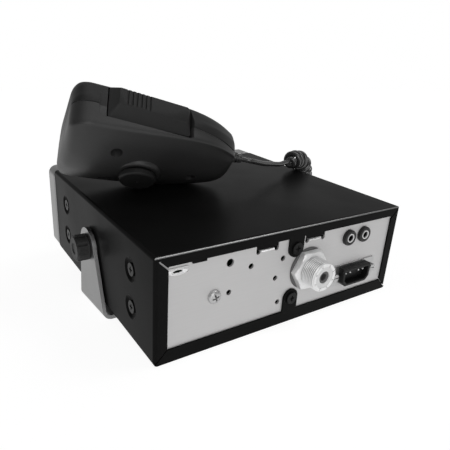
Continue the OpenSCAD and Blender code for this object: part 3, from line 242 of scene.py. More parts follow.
def brushed_group():
    tree, given, out = group("brushed lines", [("Size", 0.4)], ["Height", "Mask"])
    drawn = add_node(tree, "Mapping", {"Vector": own_place(tree), "Scale": (0.02, 1, 1)})
    value = noise(tree, drawn.outputs[0], per_metre(tree, given.outputs["Size"]), 4)
    tree.links.new(value, out.inputs["Height"])
    tree.links.new(spread_out(tree, value, 0.3, 0.7), out.inputs["Mask"])
    return tree


def bend_highlight_group():
    """A line along x, at a depth and height in millimetres, for a painted highlight along a bend."""
    tree, given, out = group("painted bend highlight", [("Back", 0), ("Height", 0), ("Width", 0.5)], ["Mask"])
    in_mm = add_node(tree, "VectorMath", {0: own_place(tree), "Scale": 1/MM}, operation="SCALE")
    line = add_node(tree, "CombineXYZ", {"Y": given.outputs["Back"], "Z": given.outputs["Height"]})
    away = add_node(tree, "VectorMath", {0: in_mm.outputs[0], 1: line.outputs[0]}, operation="SUBTRACT")
    across = add_node(tree, "VectorMath", {0: away.outputs[0], 1: (0, 1, 1)}, operation="MULTIPLY")
    gap = add_node(tree, "VectorMath", {0: across.outputs[0]}, operation="LENGTH")
    fade = add_node(tree, "MapRange", {"Value": gap.outputs["Value"], "From Max": given.outputs["Width"],
                                       "To Min": 1, "To Max": 0}, interpolation_type="SMOOTHSTEP")
    tree.links.new(fade.outputs["Result"], out.inputs["Mask"])
    return tree


GRAIN = grain_group()
SMUDGES = smudge_group()
BRUSHED = brushed_group()
BEND_HIGHLIGHT = bend_highlight_group()


# Finishes

def finish(name, dark, light, rough, texture=GRAIN, size=0.5, depth=0.02, smudge=35,
           metallic=0.0, specular=0.5):
    """A surface between two tones and two roughnesses, with texture of a size and depth in millimetres."""
    material = bpy.data.materials.new(name)
    material.use_nodes = True
    tree = material.node_tree
    shader = tree.nodes["Principled BSDF"]
    shader.inputs["Metallic"].default_value = metallic
    shader.inputs["Specular IOR Level"].default_value = specular
    fine = add_node(tree, "Group", {"Size": size}, node_tree=texture).outputs
    broad = add_node(tree, "Group", {"Size": smudge}, node_tree=SMUDGES).outputs
    half = add_node(tree, "Math", {0: broad["Mask"], 1: 0.5}, operation="MULTIPLY")
    share = add_node(tree, "Math", {0: fine["Mask"], 1: 0.5, 2: half.outputs[0]}, operation="MULTIPLY_ADD")
    tone = add_node(tree, "Mix", {"Factor": share.outputs[0], "A": (*dark, 1), "B": (*light, 1)},
                    data_type="RGBA")
    gloss = add_node(tree, "MapRange", {"Value": broad["Mask"], "To Min": rough[0], "To Max": rough[1]})
    bump = add_node(tree, "Bump", {"Strength": 1, "Distance": depth*MM, "Height": fine["Height"]})
    tree.links.new(tone.outputs["Result"], shader.inputs["Base Color"])
    tree.links.new(gloss.outputs["Result"], shader.inputs["Roughness"])
    tree.links.new(bump.outputs["Normal"], shader.inputs["Normal"])
    return material


def grey(value):
    return (value, value, value)


FINISHES = {
    "cover_paint": finish("satin black paint", grey(0.006), grey(0.009), (0.3, 0.36), size=0.35,
                          depth=0.006, specular=0.03),
    "black_screw": finish("black oxide", grey(0.004), grey(0.008), (0.3, 0.42), size=0.4, depth=0.01,
                          specular=0.2),
    "bracket_alloy": finish("bead blasted alloy", grey(0.32), grey(0.37), (0.32, 0.4), size=0.3,
                            depth=0.015, metallic=1),
    "washer_fibre": finish("pressed fibre", grey(0.05), grey(0.09), (0.7, 0.85), size=0.25, depth=0.05),
    "knob_black": finish("moulded knob", grey(0.008), grey(0.014), (0.42, 0.52), size=0.3, depth=0.02,
                         specular=0.4),
    "stud_steel": finish("zinc plate", grey(0.5), grey(0.62), (0.25, 0.35), size=0.5, depth=0.01,
                         metallic=1),
    "chassis_steel": finish("plated sheet", (0.57, 0.565, 0.565), (0.61, 0.605, 0.605), (0.44, 0.52),
                            texture=BRUSHED, size=0.25, depth=0.0006, smudge=60, metallic=0.4),
    "nickel": finish("satin nickel", grey(0.68), grey(0.76), (0.3, 0.4), size=0.8, depth=0.004,
                     metallic=1),
    "insulator": finish("socket plastic", grey(0.005), grey(0.008), (0.32, 0.42), size=0.4, depth=0.01,
                        specular=0.22),
    "contact_brass": finish("contact brass", (0.5, 0.4, 0.2), (0.62, 0.5, 0.27), (0.25, 0.36), size=0.4,
                            depth=0.008, metallic=1),
    "face_black": finish("faceplate plastic", grey(0.014), grey(0.02), (0.5, 0.6), size=0.3, depth=0.02,
                         specular=0.12),
    "lens": finish("smoked lens", (0.006, 0.009, 0.012), (0.008, 0.012, 0.016), (0.14, 0.2), size=6,
                   depth=0.002, specular=0.25),
    "component": finish("component body", grey(0.05), grey(0.08), (0.45, 0.6), size=0.5, depth=0.02),
    "board_green": finish("solder mask", (0.012, 0.07, 0.03), (0.02, 0.1, 0.045), (0.3, 0.42), size=1.2,
                          depth=0.02),
    "button_grey": finish("button rubber", grey(0.03), grey(0.045), (0.55, 0.68), size=0.25, depth=0.02),
    "speaker_metal": finish("speaker basket", grey(0.012), grey(0.02), (0.4, 0.5), size=0.5, depth=0.01),
    "speaker_paper": finish("paper cone", grey(0.012), grey(0.022), (0.8, 0.92), size=0.9, depth=0.08),
    # one moulding in two copies: the back shell's is lighter as painted light on its dome, the front shell's
    # darker
    "mic_dark": finish("moulded front shell", grey(0.012), grey(0.016), (0.42, 0.5), size=0.32,
                       depth=0.02, specular=0.25),
    "mic_grey": finish("moulded back shell lightened as painted light", grey(0.019), grey(0.024), (0.4, 0.48), size=0.32, depth=0.02,
                       specular=0.5),
    "cord_rubber": finish("cord jacket", grey(0.032), grey(0.042), (0.2, 0.28), size=0.6, depth=0.008,
                          specular=0.9),
}

PALE_RESIN = finish("pale socket resin", grey(0.7), grey(0.78), (0.4, 0.5), size=0.5, depth=0.01)
PLATED_THREAD = finish("plated thread", grey(0.84), grey(0.92), (0.36, 0.44), size=0.8, depth=0.004,
                       metallic=0.4)
PLATED_SCREW = finish("plated screw", grey(0.5), grey(0.58), (0.34, 0.42), size=0.5, depth=0.006,
                      metallic=0.7)
# dark grey contact: painted shade for the metal contact deep in the socket's bore
CONTACT_PAINTED_SHADE = finish("contact darkened as painted shade", grey(0.08), grey(0.11), (0.45, 0.55), size=0.4, depth=0.01)
# dark washer: painted shade for the gap behind the antenna nut
WASHER_PAINTED_SHADE = finish("washer darkened as painted shade", grey(0.1), grey(0.14), (0.4, 0.5), size=0.4, depth=0.01, metallic=0.6)
MARK_PAINT = finish("printed marks", grey(0.6), grey(0.68), (0.5, 0.6), size=0.3, depth=0.006)
CLEAR_SEGMENT = finish("unlit segments", (0.018, 0.024, 0.026), (0.022, 0.03, 0.032), (0.2, 0.3), size=0.5,
                       depth=0.002)


def tinted(material, mask, tone):
    """Lays a tone over a finish where the mask is."""
    tree = material.node_tree
    shader = tree.nodes["Principled BSDF"]
    under = shader.inputs["Base Color"].links[0].from_socket
    over = add_node(tree, "Mix", {"Factor": mask, "A": under, "B": (*tone, 1)}, data_type="RGBA")
    tree.links.new(over.outputs["Result"], shader.inputs["Base Color"])


def paint_bend_highlight(material, back, height, width):
    """Paints a highlight along a bend as a lighter, metallic line in the paint."""
    tree = material.node_tree
    highlight_line = add_node(tree, "Group", {"Back": back, "Height": height, "Width": width}, node_tree=BEND_HIGHLIGHT)
    # lighter metallic tone along the bend: a painted highlight
    tinted(material, highlight_line.outputs["Mask"], grey(0.4))
    tree.links.new(highlight_line.outputs["Mask"], tree.nodes["Principled BSDF"].inputs["Metallic"])


# painted highlight along the cover's rear top bend
REAR_BEND_AT = (-78.61, 52.64)
REAR_BEND_HIGHLIGHT_WIDTH = 0.62
paint_bend_highlight(FINISHES["cover_paint"], *REAR_BEND_AT, REAR_BEND_HIGHLIGHT_WIDTH)


# Mesh helpers

CREASE = 35
CORD_CREASE = 60
WELD = 0.001*MM


def meshed(name, verts, faces, place, weld=None):
    """A mesh at a place, its normals outwards and its doubled points welded where asked."""
    mesh = bpy.data.meshes.new(name)
    mesh.from_pydata([place @ Vector(v) for v in verts], [], faces)
    work = bmesh.new()
    work.from_mesh(mesh)
    if weld:
        bmesh.ops.remove_doubles(work, verts=work.verts, dist=weld)
    bmesh.ops.recalc_face_normals(work, faces=work.faces)
    work.to_mesh(mesh)
    work.free()
    return mesh


def shaded(mesh, crease):
    """Smooth faces that meet sharply past a crease angle."""
    mesh.polygons.foreach_set("use_smooth", [True]*len(mesh.polygons))
    mesh.set_sharp_from_angle(angle=math.radians(crease))


def new_piece(name, verts, faces, place, body, slot, surface=None, crease=CREASE):
    """A mesh piece in the row frame that rides on a body, with its slot's finish or another surface."""
    mesh = meshed(name, verts, faces, place, WELD)
    mesh.materials.append(surface or FINISHES[slot])
    shaded(mesh, crease)
    piece = bpy.data.objects.new(name, mesh)
    scene.collection.objects.link(piece)
    if body:
        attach(piece, body)
    return piece


def case_piece(name, forms, slot, surface=None):
    """One piece on the radio from several forms, each with its own place."""
    return new_piece(name, *gathered(forms), Matrix.Identity(4), "radio", slot, surface)


def cutter(verts, faces, place):
    form = bpy.data.objects.new("cutter", meshed("cutter", verts, faces, place))
    scene.collection.objects.link(form)
    return form


def carved(piece, cutters):
    """Cuts closed forms out of a piece, in its mesh, and removes them."""
    for form in cutters:
        cut = piece.modifiers.new("cut", "BOOLEAN")
        cut.operation = "DIFFERENCE"
        cut.object = form
    bpy.context.view_layer.update()
    done = bpy.data.meshes.new_from_object(piece.evaluated_get(bpy.context.evaluated_depsgraph_get()))
    piece.modifiers.clear()
    old = piece.data
    piece.data = done
    bpy.data.meshes.remove(old)
    for form in cutters:
        bpy.data.objects.remove(form)
    shaded(done, CREASE)


def prism(outline, low, high):
    """Verts and faces of an outline in x and y, drawn out along z."""
    n = len(outline)
    verts = [(x, y, low) for x, y in outline] + [(x, y, high) for x, y in outline]
    sides = [(i, (i + 1) % n, n + (i + 1) % n, n + i) for i in range(n)]
    return verts, sides + [tuple(range(n)), tuple(range(n, 2*n))]


def polar(radius, turns):
    """x and y at a radius, some turns round."""
    return radius*math.cos(2*math.pi*turns), radius*math.sin(2*math.pi*turns)


def disc(x, y, radius, steps=40):
    return [(x + dx, y + dy) for dx, dy in (polar(radius, i/steps) for i in range(steps))]


def rounded(x0, x1, y0, y1, radius, steps=6):
    """A rectangle's outline with round corners."""
    corners = [(x1 - radius, y1 - radius, 0), (x0 + radius, y1 - radius, 90),
               (x0 + radius, y0 + radius, 180), (x1 - radius, y0 + radius, 270)]
    outline = []
    for x, y, start in corners:
        for i in range(steps + 1):
            angle = math.radians(start + 90*i/steps)
            outline.append((x + radius*math.cos(angle), y + radius*math.sin(angle)))
    return outline


def turned(profile, steps=64):
    """Verts and faces of a closed profile of (radius, height), turned about z, with none along the axis."""
    n = len(profile)
    off_axis = [i for i in range(n) if profile[i][0] or profile[(i + 1) % n][0]]
    verts = [(*polar(r, j/steps), z) for j in range(steps) for r, z in profile]
    faces = [(j*n + i, j*n + (i + 1) % n, (j + 1) % steps*n + (i + 1) % n, (j + 1) % steps*n + i)
             for j in range(steps) for i in off_axis]
    return verts, faces


def ring(radius, height, steps):
    return [(*polar(radius, j/steps), height) for j in range(steps)]


def skinned(rings, closed):
    """Verts and faces over rings of points: closed joins the last to the first, or else both are capped."""
    n = len(rings[0])
    last = len(rings) - 1
    verts = [p for points in rings for p in points]
    faces = [(i*n + k, i*n + (k + 1) % n, (i + 1)*n + (k + 1) % n, (i + 1)*n + k)
             for i in range(last) for k in range(n)]
    if closed:
        faces += [(last*n + k, last*n + (k + 1) % n, (k + 1) % n, k) for k in range(n)]
    else:
        faces += [tuple(range(n)), tuple(range(last*n, last*n + n))]
    return verts, faces


def gathered(forms):
    """One list of verts and faces from several forms, each with its own place."""
    verts, faces = [], []
    for (points, sides), place in forms:
        start = len(verts)
        verts += [place @ Vector(p) for p in points]
        faces += [tuple(start + k for k in side) for side in sides]
    return verts, faces


FLAT_WITHIN = 1
BROKEN_FROM = 38
BROKEN_STEPS = 2
SEAM_WELD = 0.002*MM


def softened(node, width):
    """Rounds a CAD node's sharp edges with modifiers; ring-shaped flats keep their triangles."""
    piece = frame["nodes"][node]
    weld = piece.modifiers.new("joined seams", "WELD")
    weld.merge_threshold = SEAM_WELD
    if node not in RING_FLATS:
        flats = piece.modifiers.new("whole flats", "DECIMATE")
        flats.decimate_type = "DISSOLVE"
        flats.angle_limit = math.radians(FLAT_WITHIN)
    bevel = piece.modifiers.new("broken edges", "BEVEL")
    bevel.width = width*MM
    bevel.segments = BROKEN_STEPS
    bevel.limit_method = "ANGLE"
    bevel.angle_limit = math.radians(BROKEN_FROM)
    piece.modifiers.new("even shading", "WEIGHTED_NORMAL")


# Cord: the straight stretches and the curls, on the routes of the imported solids

WIRE_D = 3.2
CURL_R = 4.9
CURL_PITCH = 3.75
CURL_RINGS = 24
AXIS_STEPS = 14
BEND_SPAN = 6
END_TURNS = 0.5
OPEN_TURNS = 1.4
ROUTE_STEPS = 6
LEAD_SIDES, CURL_SIDES = 20, 12
SIDE_SEED = Vector((0.3, 0.2, 0.9))

LEAD_ROUTE = [
    (14.843, -8.766, 77.041), (18.633, -9.584, 76.057), (22.423, -10.403, 75.073), (35, -6, 72),
    (45, -2.2, 70.4), (54.16, 0.8, 69.08), (60.06, 2.8, 69.28), (63.6, 4, 69.4),
]
CURL_ROUTE = [
    (63.6, 4, 69.4), (69.5, 6, 69.6), (75.4, 8, 69.8), (81.2, 9.8, 68.6), (85.7, 11.4, 64.6),
    (88.4, 13.2, 58.6), (91, 15.8, 50), (94.4, 19.4, 39.4), (97.8, 24, 29), (100.8, 30.6, 19),
    (103, 40, 11.6), (104, 51.6, 8), (104.4, 64, 7), (103.8, 79, 7), (102, 94, 7), (101, 107, 7),
    (100, 120, 7),
]
PLUG_ROUTE = [
    (100, 120, 7), (99.7, 123.9, 7), (99.4, 127.8, 7), (98, 135.4, 4.6), (93.4, 145, 2), (86, 152.6, 2),
    (79, 157.4, 4.2), (73, 158.6, 10.4), (68, 157, 19.6), (64.4, 152.6, 29.6), (61.8, 146.6, 38),
    (60.3, 139.6, 42.2), (60, 132.11, 42.14), (60, 127.14, 41.62),
]


def route_at(points, u):
    """Point at u on the smooth curve through the points."""
    last = len(points) - 1
    i = min(int(u), last - 1)
    f = u - i
    a, b = points[i], points[i + 1]
    start = (b - points[i - 1])/2 if i > 0 else b - a
    end = (points[i + 2] - a)/2 if i < last - 1 else b - a
    return (
        (2*f**3 - 3*f*f + 1)*a + (f**3 - 2*f*f + f)*start
        + (3*f*f - 2*f**3)*b + (f**3 - f*f)*end
    )


def along(route, steps):
    points = [Vector(p) for p in route]
    return [route_at(points, i/steps) for i in range((len(points) - 1)*steps + 1)]


def headings(points):
    last = len(points) - 1
    return [(points[min(i + 1, last)] - points[max(i - 1, 0)]).normalized() for i in range(last + 1)]


def carried(directions, side):
    """Carries a side vector along the directions without twist."""
    sides = []
    for direction in directions:
        side = (side - side.dot(direction)*direction).normalized()
        sides.append(side)
    return sides


def eased(f):
    """Slow start and slow stop between 0 and 1."""
    f = min(1, max(0, f))
    return f*f*(3 - 2*f)


def curl_centres(route):
    axis = along(route, AXIS_STEPS)
    ahead = headings(axis)
    side = carried(ahead, SIDE_SEED)
    last = len(axis) - 1
    phase = [0.0]
    for i in range(last):
        a, b = max(i - BEND_SPAN, 0), min(i + 1 + BEND_SPAN, last)
        bend = (ahead[b] - ahead[a]).length/(axis[b] - axis[a]).length
        step = (axis[i + 1] - axis[i]).length
        phase.append(phase[-1] + 2*math.pi*step*(1 - CURL_R*bend)/CURL_PITCH)
    rings = int(phase[-1]/(2*math.pi))*CURL_RINGS
    centres = []
    i = 0
    for j in range(rings + 1):
        angle = phase[-1]*j/rings
        while i < last - 1 and phase[i + 1] < angle:
            i += 1
        f = (angle - phase[i])/(phase[i + 1] - phase[i])
        forward = ahead[i].lerp(ahead[i + 1], f).normalized()
        out = side[i].lerp(side[i + 1], f)
        out = (out - out.dot(forward)*forward).normalized()
        from_end = min(j, rings - j)/CURL_RINGS
        radius = CURL_R*eased((from_end - END_TURNS)/OPEN_TURNS)
        swing = math.cos(angle)*out + math.sin(angle)*forward.cross(out)
        centres.append(axis[i].lerp(axis[i + 1], f) + radius*swing)
    return centres


def cord_jacket(name, node, centres, sides):
    """A closed tube round the centres, in place of the node."""
    ahead = headings(centres)
    rings = []
    for point, forward, out in zip(centres, ahead, carried(ahead, SIDE_SEED)):
        across = forward.cross(out)
        around = [polar(WIRE_D/2, k/sides) for k in range(sides)]
        rings.append([point + a*out + b*across for a, b in around])
    jacket = new_piece(name, *skinned(rings, False), Matrix.Scale(MM, 4), None, "cord_rubber",
                       crease=CORD_CREASE)
    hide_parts(node)
    return jacket


def microphone_cord():
    """The cord in three pieces; what lies on the table stays there when the radio tilts."""
    lead = along(LEAD_ROUTE, ROUTE_STEPS)
    curls = curl_centres(CURL_ROUTE)
    tail = along(PLUG_ROUTE, ROUTE_STEPS)
    straight = cord_jacket("cord_lead", "mic_lead", lead, LEAD_SIDES)
    coiled = cord_jacket("cord_curls", "mic_curls", curls, CURL_SIDES)
    ending = cord_jacket("cord_tail", "plug_lead", tail, LEAD_SIDES)
    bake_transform(straight)
    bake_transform(coiled)
    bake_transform(ending)


microphone_cord()


# Hand microphone: two moulded shells about a seam, the talk bar in its window, collar and grille

MIC_W = 59
MIC_TAIL_W = 24
MIC_HEAD_L = 39.5
MIC_TAIL_L = 54.5
MIC_T = 27.8
MIC_DROP = 10
MIC_BOW = 1.5
MIC_DOME = 7.6
DOME_HEAD = 20
DOME_TAIL = 12
MIC_SEAM = 14.6
SEAM_GROOVE = 0.45
HEAD_CORNER = 9
TAIL_CORNER = 4
MIC_EDGE = 4
MIC_HOLES = [(-15, 15.4), (-15, -15.4), (30.2, 0)]
MIC_SCREW_T = 19
COLLAR_T = 33.46
BAR_AT = Vector((19.5, 23.8, 0))
BAR_SLANT = math.radians(-3.4)
BAR = MIC @ Matrix.Translation(BAR_AT) @ Matrix.Rotation(BAR_SLANT, 4, "Z")
BAR_T0, BAR_STEP, BAR_T1 = 2.8, 13.3, 20
BAR_OUT = 4
BAR_GAP = 0.6
BAR_WINDOW_IN = 5.4
BAR_LIP = [(2.2, 0), (3.2, 0.3), (4.4, 1), (14, 8)]
GRILLE_AT = -22
GRILLE_HALF = 9
GRILLE_SLOTS, GRILLE_PITCH = 6, 3.4
GRIP_L = 42.6
GRIP_GROOVES, GRIP_PITCH = 6, 2.3
SECTION_POINTS = 64
MIDDLE_STATIONS = 44


def corner(depth, radius):
    """How far a round corner draws in at a depth from the end."""
    return 0 if depth >= radius else radius - math.sqrt(max(0, radius**2 - (radius - depth)**2))


def mic_half_width(l):
    taper = (MIC_W - MIC_TAIL_W)/2*(max(0, l + 2)/(MIC_TAIL_L + 2))**3
    return MIC_W/2 - taper - corner(l + MIC_HEAD_L, HEAD_CORNER) - corner(MIC_TAIL_L - l, TAIL_CORNER)


def shoulder(l):
    f = (l + MIC_HEAD_L)/(MIC_HEAD_L + MIC_TAIL_L)
    return MIC_T - MIC_DROP*f + 4*MIC_BOW*f*(1 - f)


def dome(l):
    """Rise of the back over its shoulder, run out in a quarter round at both ends."""
    f = min(1, (l + MIC_HEAD_L)/DOME_HEAD, (MIC_TAIL_L - l)/DOME_TAIL)
    return MIC_DOME*math.sqrt(1 - (1 - f)**2)


def mic_side(l):
    """One side of the section at l, from the middle of the front to the middle of the back."""
    w = mic_half_width(l)
    drawn_in = corner(min(l + MIC_HEAD_L, MIC_TAIL_L - l), MIC_EDGE)
    f = drawn_in
    b = max(shoulder(l) - drawn_in, MIC_SEAM + 1.2)
    h = dome(l)
    in_by = min(1, w/16)
    up_by = min(1, (b - f)/24)
    inset = [(8, 0), (4.6, 1), (2.6, 3.6), (0.8, 9), (0, 12)]
    front = [(w - x*in_by, f + t*up_by) for x, t in inset]
    back = [(w - x*in_by, b - t*up_by) for x, t in [(0.3, 5), (0.4, 2), (0.8, 0.7), (2, -0.1)]]
    crown = [(w*x, b + h*t) for x, t in [(0.72, 0.42), (0.5, 0.7), (0.25, 0.93), (0, 1)]]
    return [Vector(p) for p in [(0, f), *front, *back, *crown]]


def smooth_line(points, steps):
    """Fine points on a rounded curve through the points, sharp turns cut short."""
    fine = []
    mirrored = [Vector((-points[1].x, points[1].y)), *points, Vector((-points[-2].x, points[-2].y))]
    for a, b, c, d in zip(mirrored, mirrored[1:], mirrored[2:], mirrored[3:]):
        span = (c - b).length
        start = (c - a).normalized()*span
        end = (d - b).normalized()*span
        for i in range(steps):
            f = i/steps
            fine.append((2*f**3 - 3*f*f + 1)*b + (f**3 - 2*f*f + f)*start
                        + (3*f*f - 2*f**3)*c + (f**3 - f*f)*end)
    return fine + [points[-1]]


def evenly(line, count):
    """Count + 1 points at even lengths along a line."""
    lengths = [0.0]
    for a, b in zip(line, line[1:]):
        lengths.append(lengths[-1] + (b - a).length)
    out = []
    i = 0
    for k in range(count + 1):
        want = lengths[-1]*k/count
        while i < len(line) - 2 and lengths[i + 1] < want:
            i += 1
        f = (want - lengths[i])/max(1e-9, lengths[i + 1] - lengths[i])
        out.append(line[i].lerp(line[i + 1], min(1, f)))
    return out


def split_at_seam(line):
    """The front and the back part of a side, which meet at the seam."""
    for i, (a, b) in enumerate(zip(line, line[1:])):
        if a.y < MIC_SEAM <= b.y:
            meet = a.lerp(b, (MIC_SEAM - a.y)/(b.y - a.y))
            return line[:i + 1] + [meet], [meet] + line[i + 1:]


def mic_stations():
    head = [-MIC_HEAD_L + HEAD_CORNER*(1 - math.cos(math.radians(a))) for a in range(0, 91, 9)]
    tail = [MIC_TAIL_L - TAIL_CORNER*(1 - math.cos(math.radians(a))) for a in range(90, -1, -15)]
    span = tail[0] - head[-1]
    middle = [head[-1] + span*i/MIDDLE_STATIONS for i in range(1, MIDDLE_STATIONS)]
    return head + middle + tail


def mic_shell(name, node, part, slot):
    """One half of the body: sections from seam to seam, with the seam edge drawn in and a flat joint face."""
    rings = []
    for l in mic_stations():
        side = evenly(split_at_seam(smooth_line(mic_side(l), 6))[part], SECTION_POINTS)
        if part:
            side.reverse()
        edge = side[-1]
        groove = SEAM_GROOVE if part else -SEAM_GROOVE
        side[-1] = Vector((edge.x, edge.y + groove))
        side.append(Vector((edge.x - SEAM_GROOVE, edge.y)))
        rings.append([(l, -p.x, p.y) for p in reversed(side[1:])] + [(l, p.x, p.y) for p in side])
    shell = new_piece(name, *skinned(rings, False), MIC, "hand_mic", slot)
    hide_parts(node)
    return shell


def flared(outline, levels):
    """Verts and faces of an outline drawn out along z; each level has its own spread from the middle."""
    n = len(outline)
    x0 = sum(x for x, y in outline)/n
    y0 = sum(y for x, y in outline)/n
    rings = []
    for z, spread in levels:
        rings.append([(x + math.copysign(spread, x - x0), y + math.copysign(spread, y - y0), z)
                      for x, y in outline])
    return skinned(rings, False)


def out_of_bar(outline, levels):
    """A closed form over an outline in the bar's length and height, drawn outwards."""
    verts, faces = flared(outline, levels)
    return cutter([(x, z, y) for x, y, z in verts], faces, BAR)


def bar_window():
    """The talk bar's window with a soft lip, and the shallow finger notch at its head end."""
    window = rounded(-GRIP_L - BAR_GAP, BAR_GAP, BAR_T0 - BAR_GAP, BAR_T1 + BAR_GAP, 1.6)
    notch = rounded(-GRIP_L - 4.4, -GRIP_L + 3, BAR_T0 - BAR_GAP, BAR_T1 + BAR_GAP, 1.6)
    return [out_of_bar(window, [(-BAR_WINDOW_IN, 0), *BAR_LIP]), out_of_bar(notch, [(1.2, 0), *BAR_LIP])]


def front_shell():
    shell = mic_shell("mic_front_half", "mic_front_shell", 0, "mic_dark")
    cutters = bar_window()
    for i in range(GRILLE_SLOTS):
        y = (i - (GRILLE_SLOTS - 1)/2)*GRILLE_PITCH
        slot = rounded(GRILLE_AT - GRILLE_HALF, GRILLE_AT + GRILLE_HALF, y - 0.8, y + 0.8, 0.79)
        cutters.append(cutter(*prism(slot, -1, 2.4), MIC))
    carved(shell, cutters)


def back_shell():
    shell = mic_shell("mic_back_half", "mic_back_shell", 1, "mic_grey")
    cutters = bar_window()
    for x, y in MIC_HOLES:
        cutters.append(cutter(*prism(disc(x, y, 3), MIC_SCREW_T, 40), MIC))
    carved(shell, cutters)
    rim = COLLAR_T
    profile = [(3, rim - 5), (12.6, rim - 5), (12.1, rim - 2), (11.7, rim - 0.7), (11.3, rim - 0.2),
               (10.8, rim), (10.2, rim), (9.8, rim - 0.2), (9.6, rim - 0.6), (3, rim - 0.6)]
    new_piece("mic_collar", *turned(profile), MIC, "hand_mic", "mic_grey")


def talk_bar():
    """A raised block on a foot that slopes to the back and to the head, with six grip grooves."""
    foot = rounded(-GRIP_L, 0, BAR_T0, BAR_T1, 1.4)
    top = rounded(-GRIP_L + 4, -1.1, BAR_T0 + 0.3, BAR_STEP, 1.2)
    crown = rounded(-GRIP_L + 4.5, -1.6, BAR_T0 + 0.8, BAR_STEP - 0.5, 0.9)
    levels = [[(x, -1.5, t) for x, t in foot], [(x, 2.8 + x/28, t) for x, t in foot],
              [(x, BAR_OUT - 0.4, t) for x, t in top], [(x, BAR_OUT, t) for x, t in crown]]
    bar = new_piece("talk_bar_grip", *skinned(levels, False), BAR, "talk_bar", "mic_dark")
    cutters = []
    for i in range(GRIP_GROOVES):
        x = -GRIP_L + 8.6 + i*GRIP_PITCH
        slot = rounded(x - 0.55, x + 0.55, BAR_OUT - 0.8, BAR_OUT + 3, 0.4)
        cutters.append(cutter(*prism(slot, BAR_T0 - 2, BAR_STEP - 1.6), BAR))
    carved(bar, cutters)
    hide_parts("mic_ptt_bar")


front_shell()
back_shell()
talk_bar()


# Rear: sockets, nuts, pins and rolled edges, about axes that point out of the rear face

ANTENNA_AT = (9.3, 28.8)
THREAD_R = 7.9375
THREAD_PITCH = 1.058
THREAD_DEEP = 0.62
THREAD_LOW, THREAD_HIGH = 3.6, 12
THREAD_START = 0.8
ROUND_STEPS = 96
BARREL_BORE = 5.74
RIM_NOTCHES = 8
JACKS_AT = [(37.9, 40.6), (49.6, 40.6)]
POWER_AT = (45.3, 18.4)
POWER_MOUTH = 3.6
POWER_PINS_X = (-7.4, -3.8, 3, 6.6)
POWER_PINS_Y = 1.2
SLOT_AT = (-66.8, 44.3)
CLIPS_X = [-18.5, 12.5]
CLIP_Z = 44.8
CLIP_FOLD = 7.8
PANEL_SCREW_AT = (-47.9, 27.2)
PANEL_FACE = -1


def rear(x, z):
    return CASE @ Matrix.Translation((x, 0, z)) @ Matrix.Rotation(math.radians(90), 4, "X")


def groove_group(place):
    """Where a thread lies deeper than its crests, by radius about the axis of a place, in millimetres."""
    tree, given, out = group("thread grooves", [("Root", 7.3), ("Crest", 7.9), ("End", 12)], ["Mask"])
    at, turn, scale = place.decompose()
    local = add_node(tree, "Mapping", {"Vector": own_place(tree), "Location": at, "Rotation": turn.to_euler(),
                                       "Scale": scale}, vector_type="TEXTURE").outputs[0]
    across = add_node(tree, "VectorMath", {0: local, 1: (1, 1, 0)}, operation="MULTIPLY")
    radius = add_node(tree, "VectorMath", {0: across.outputs[0]}, operation="LENGTH")
    fade = add_node(tree, "MapRange", {"Value": radius.outputs["Value"], "From Min": given.outputs["Root"],
                                       "From Max": given.outputs["Crest"], "To Min": 1, "To Max": 0})
    height = add_node(tree, "SeparateXYZ", {0: local}).outputs["Z"]
    below = add_node(tree, "Math", {0: height, 1: given.outputs["End"]}, operation="LESS_THAN")
    both = add_node(tree, "Math", {0: fade.outputs["Result"], 1: below.outputs[0]}, operation="MULTIPLY")
    tree.links.new(both.outputs[0], out.inputs["Mask"])
    return tree


def thread_with_painted_root_shade():
    """The plated finish, darker in the thread roots as painted shade."""
    thread = PLATED_THREAD.copy()
    thread.name = "plated thread with painted root shade"
    reach = {"Root": THREAD_R - THREAD_DEEP, "Crest": THREAD_R - 0.2, "End": THREAD_HIGH - THREAD_START}
    grooves = add_node(thread.node_tree, "Group", reach, node_tree=groove_group(rear(*ANTENNA_AT)))
    # painted shade in the thread roots
    tinted(thread, grooves.outputs["Mask"], grey(0.34))
    return thread


def thread_rings(per_turn=8):
    """Rings up a screw thread with a tapered start at its mouth."""
    count = round((THREAD_HIGH - THREAD_LOW)/THREAD_PITCH*per_turn)
    rings = []
    for i in range(count + 1):
        z = THREAD_LOW + (THREAD_HIGH - THREAD_LOW)*i/count
        mouth = THREAD_R - max(0, z - THREAD_HIGH + THREAD_START)*0.8
        points = []
        for j in range(ROUND_STEPS):
            groove = 1 - abs(2*((z/THREAD_PITCH - j/ROUND_STEPS) % 1) - 1)
            r = min(mouth, THREAD_R - THREAD_DEEP*groove)
            points.append((*polar(r, j/ROUND_STEPS), z))
        rings.append(points)
    return rings


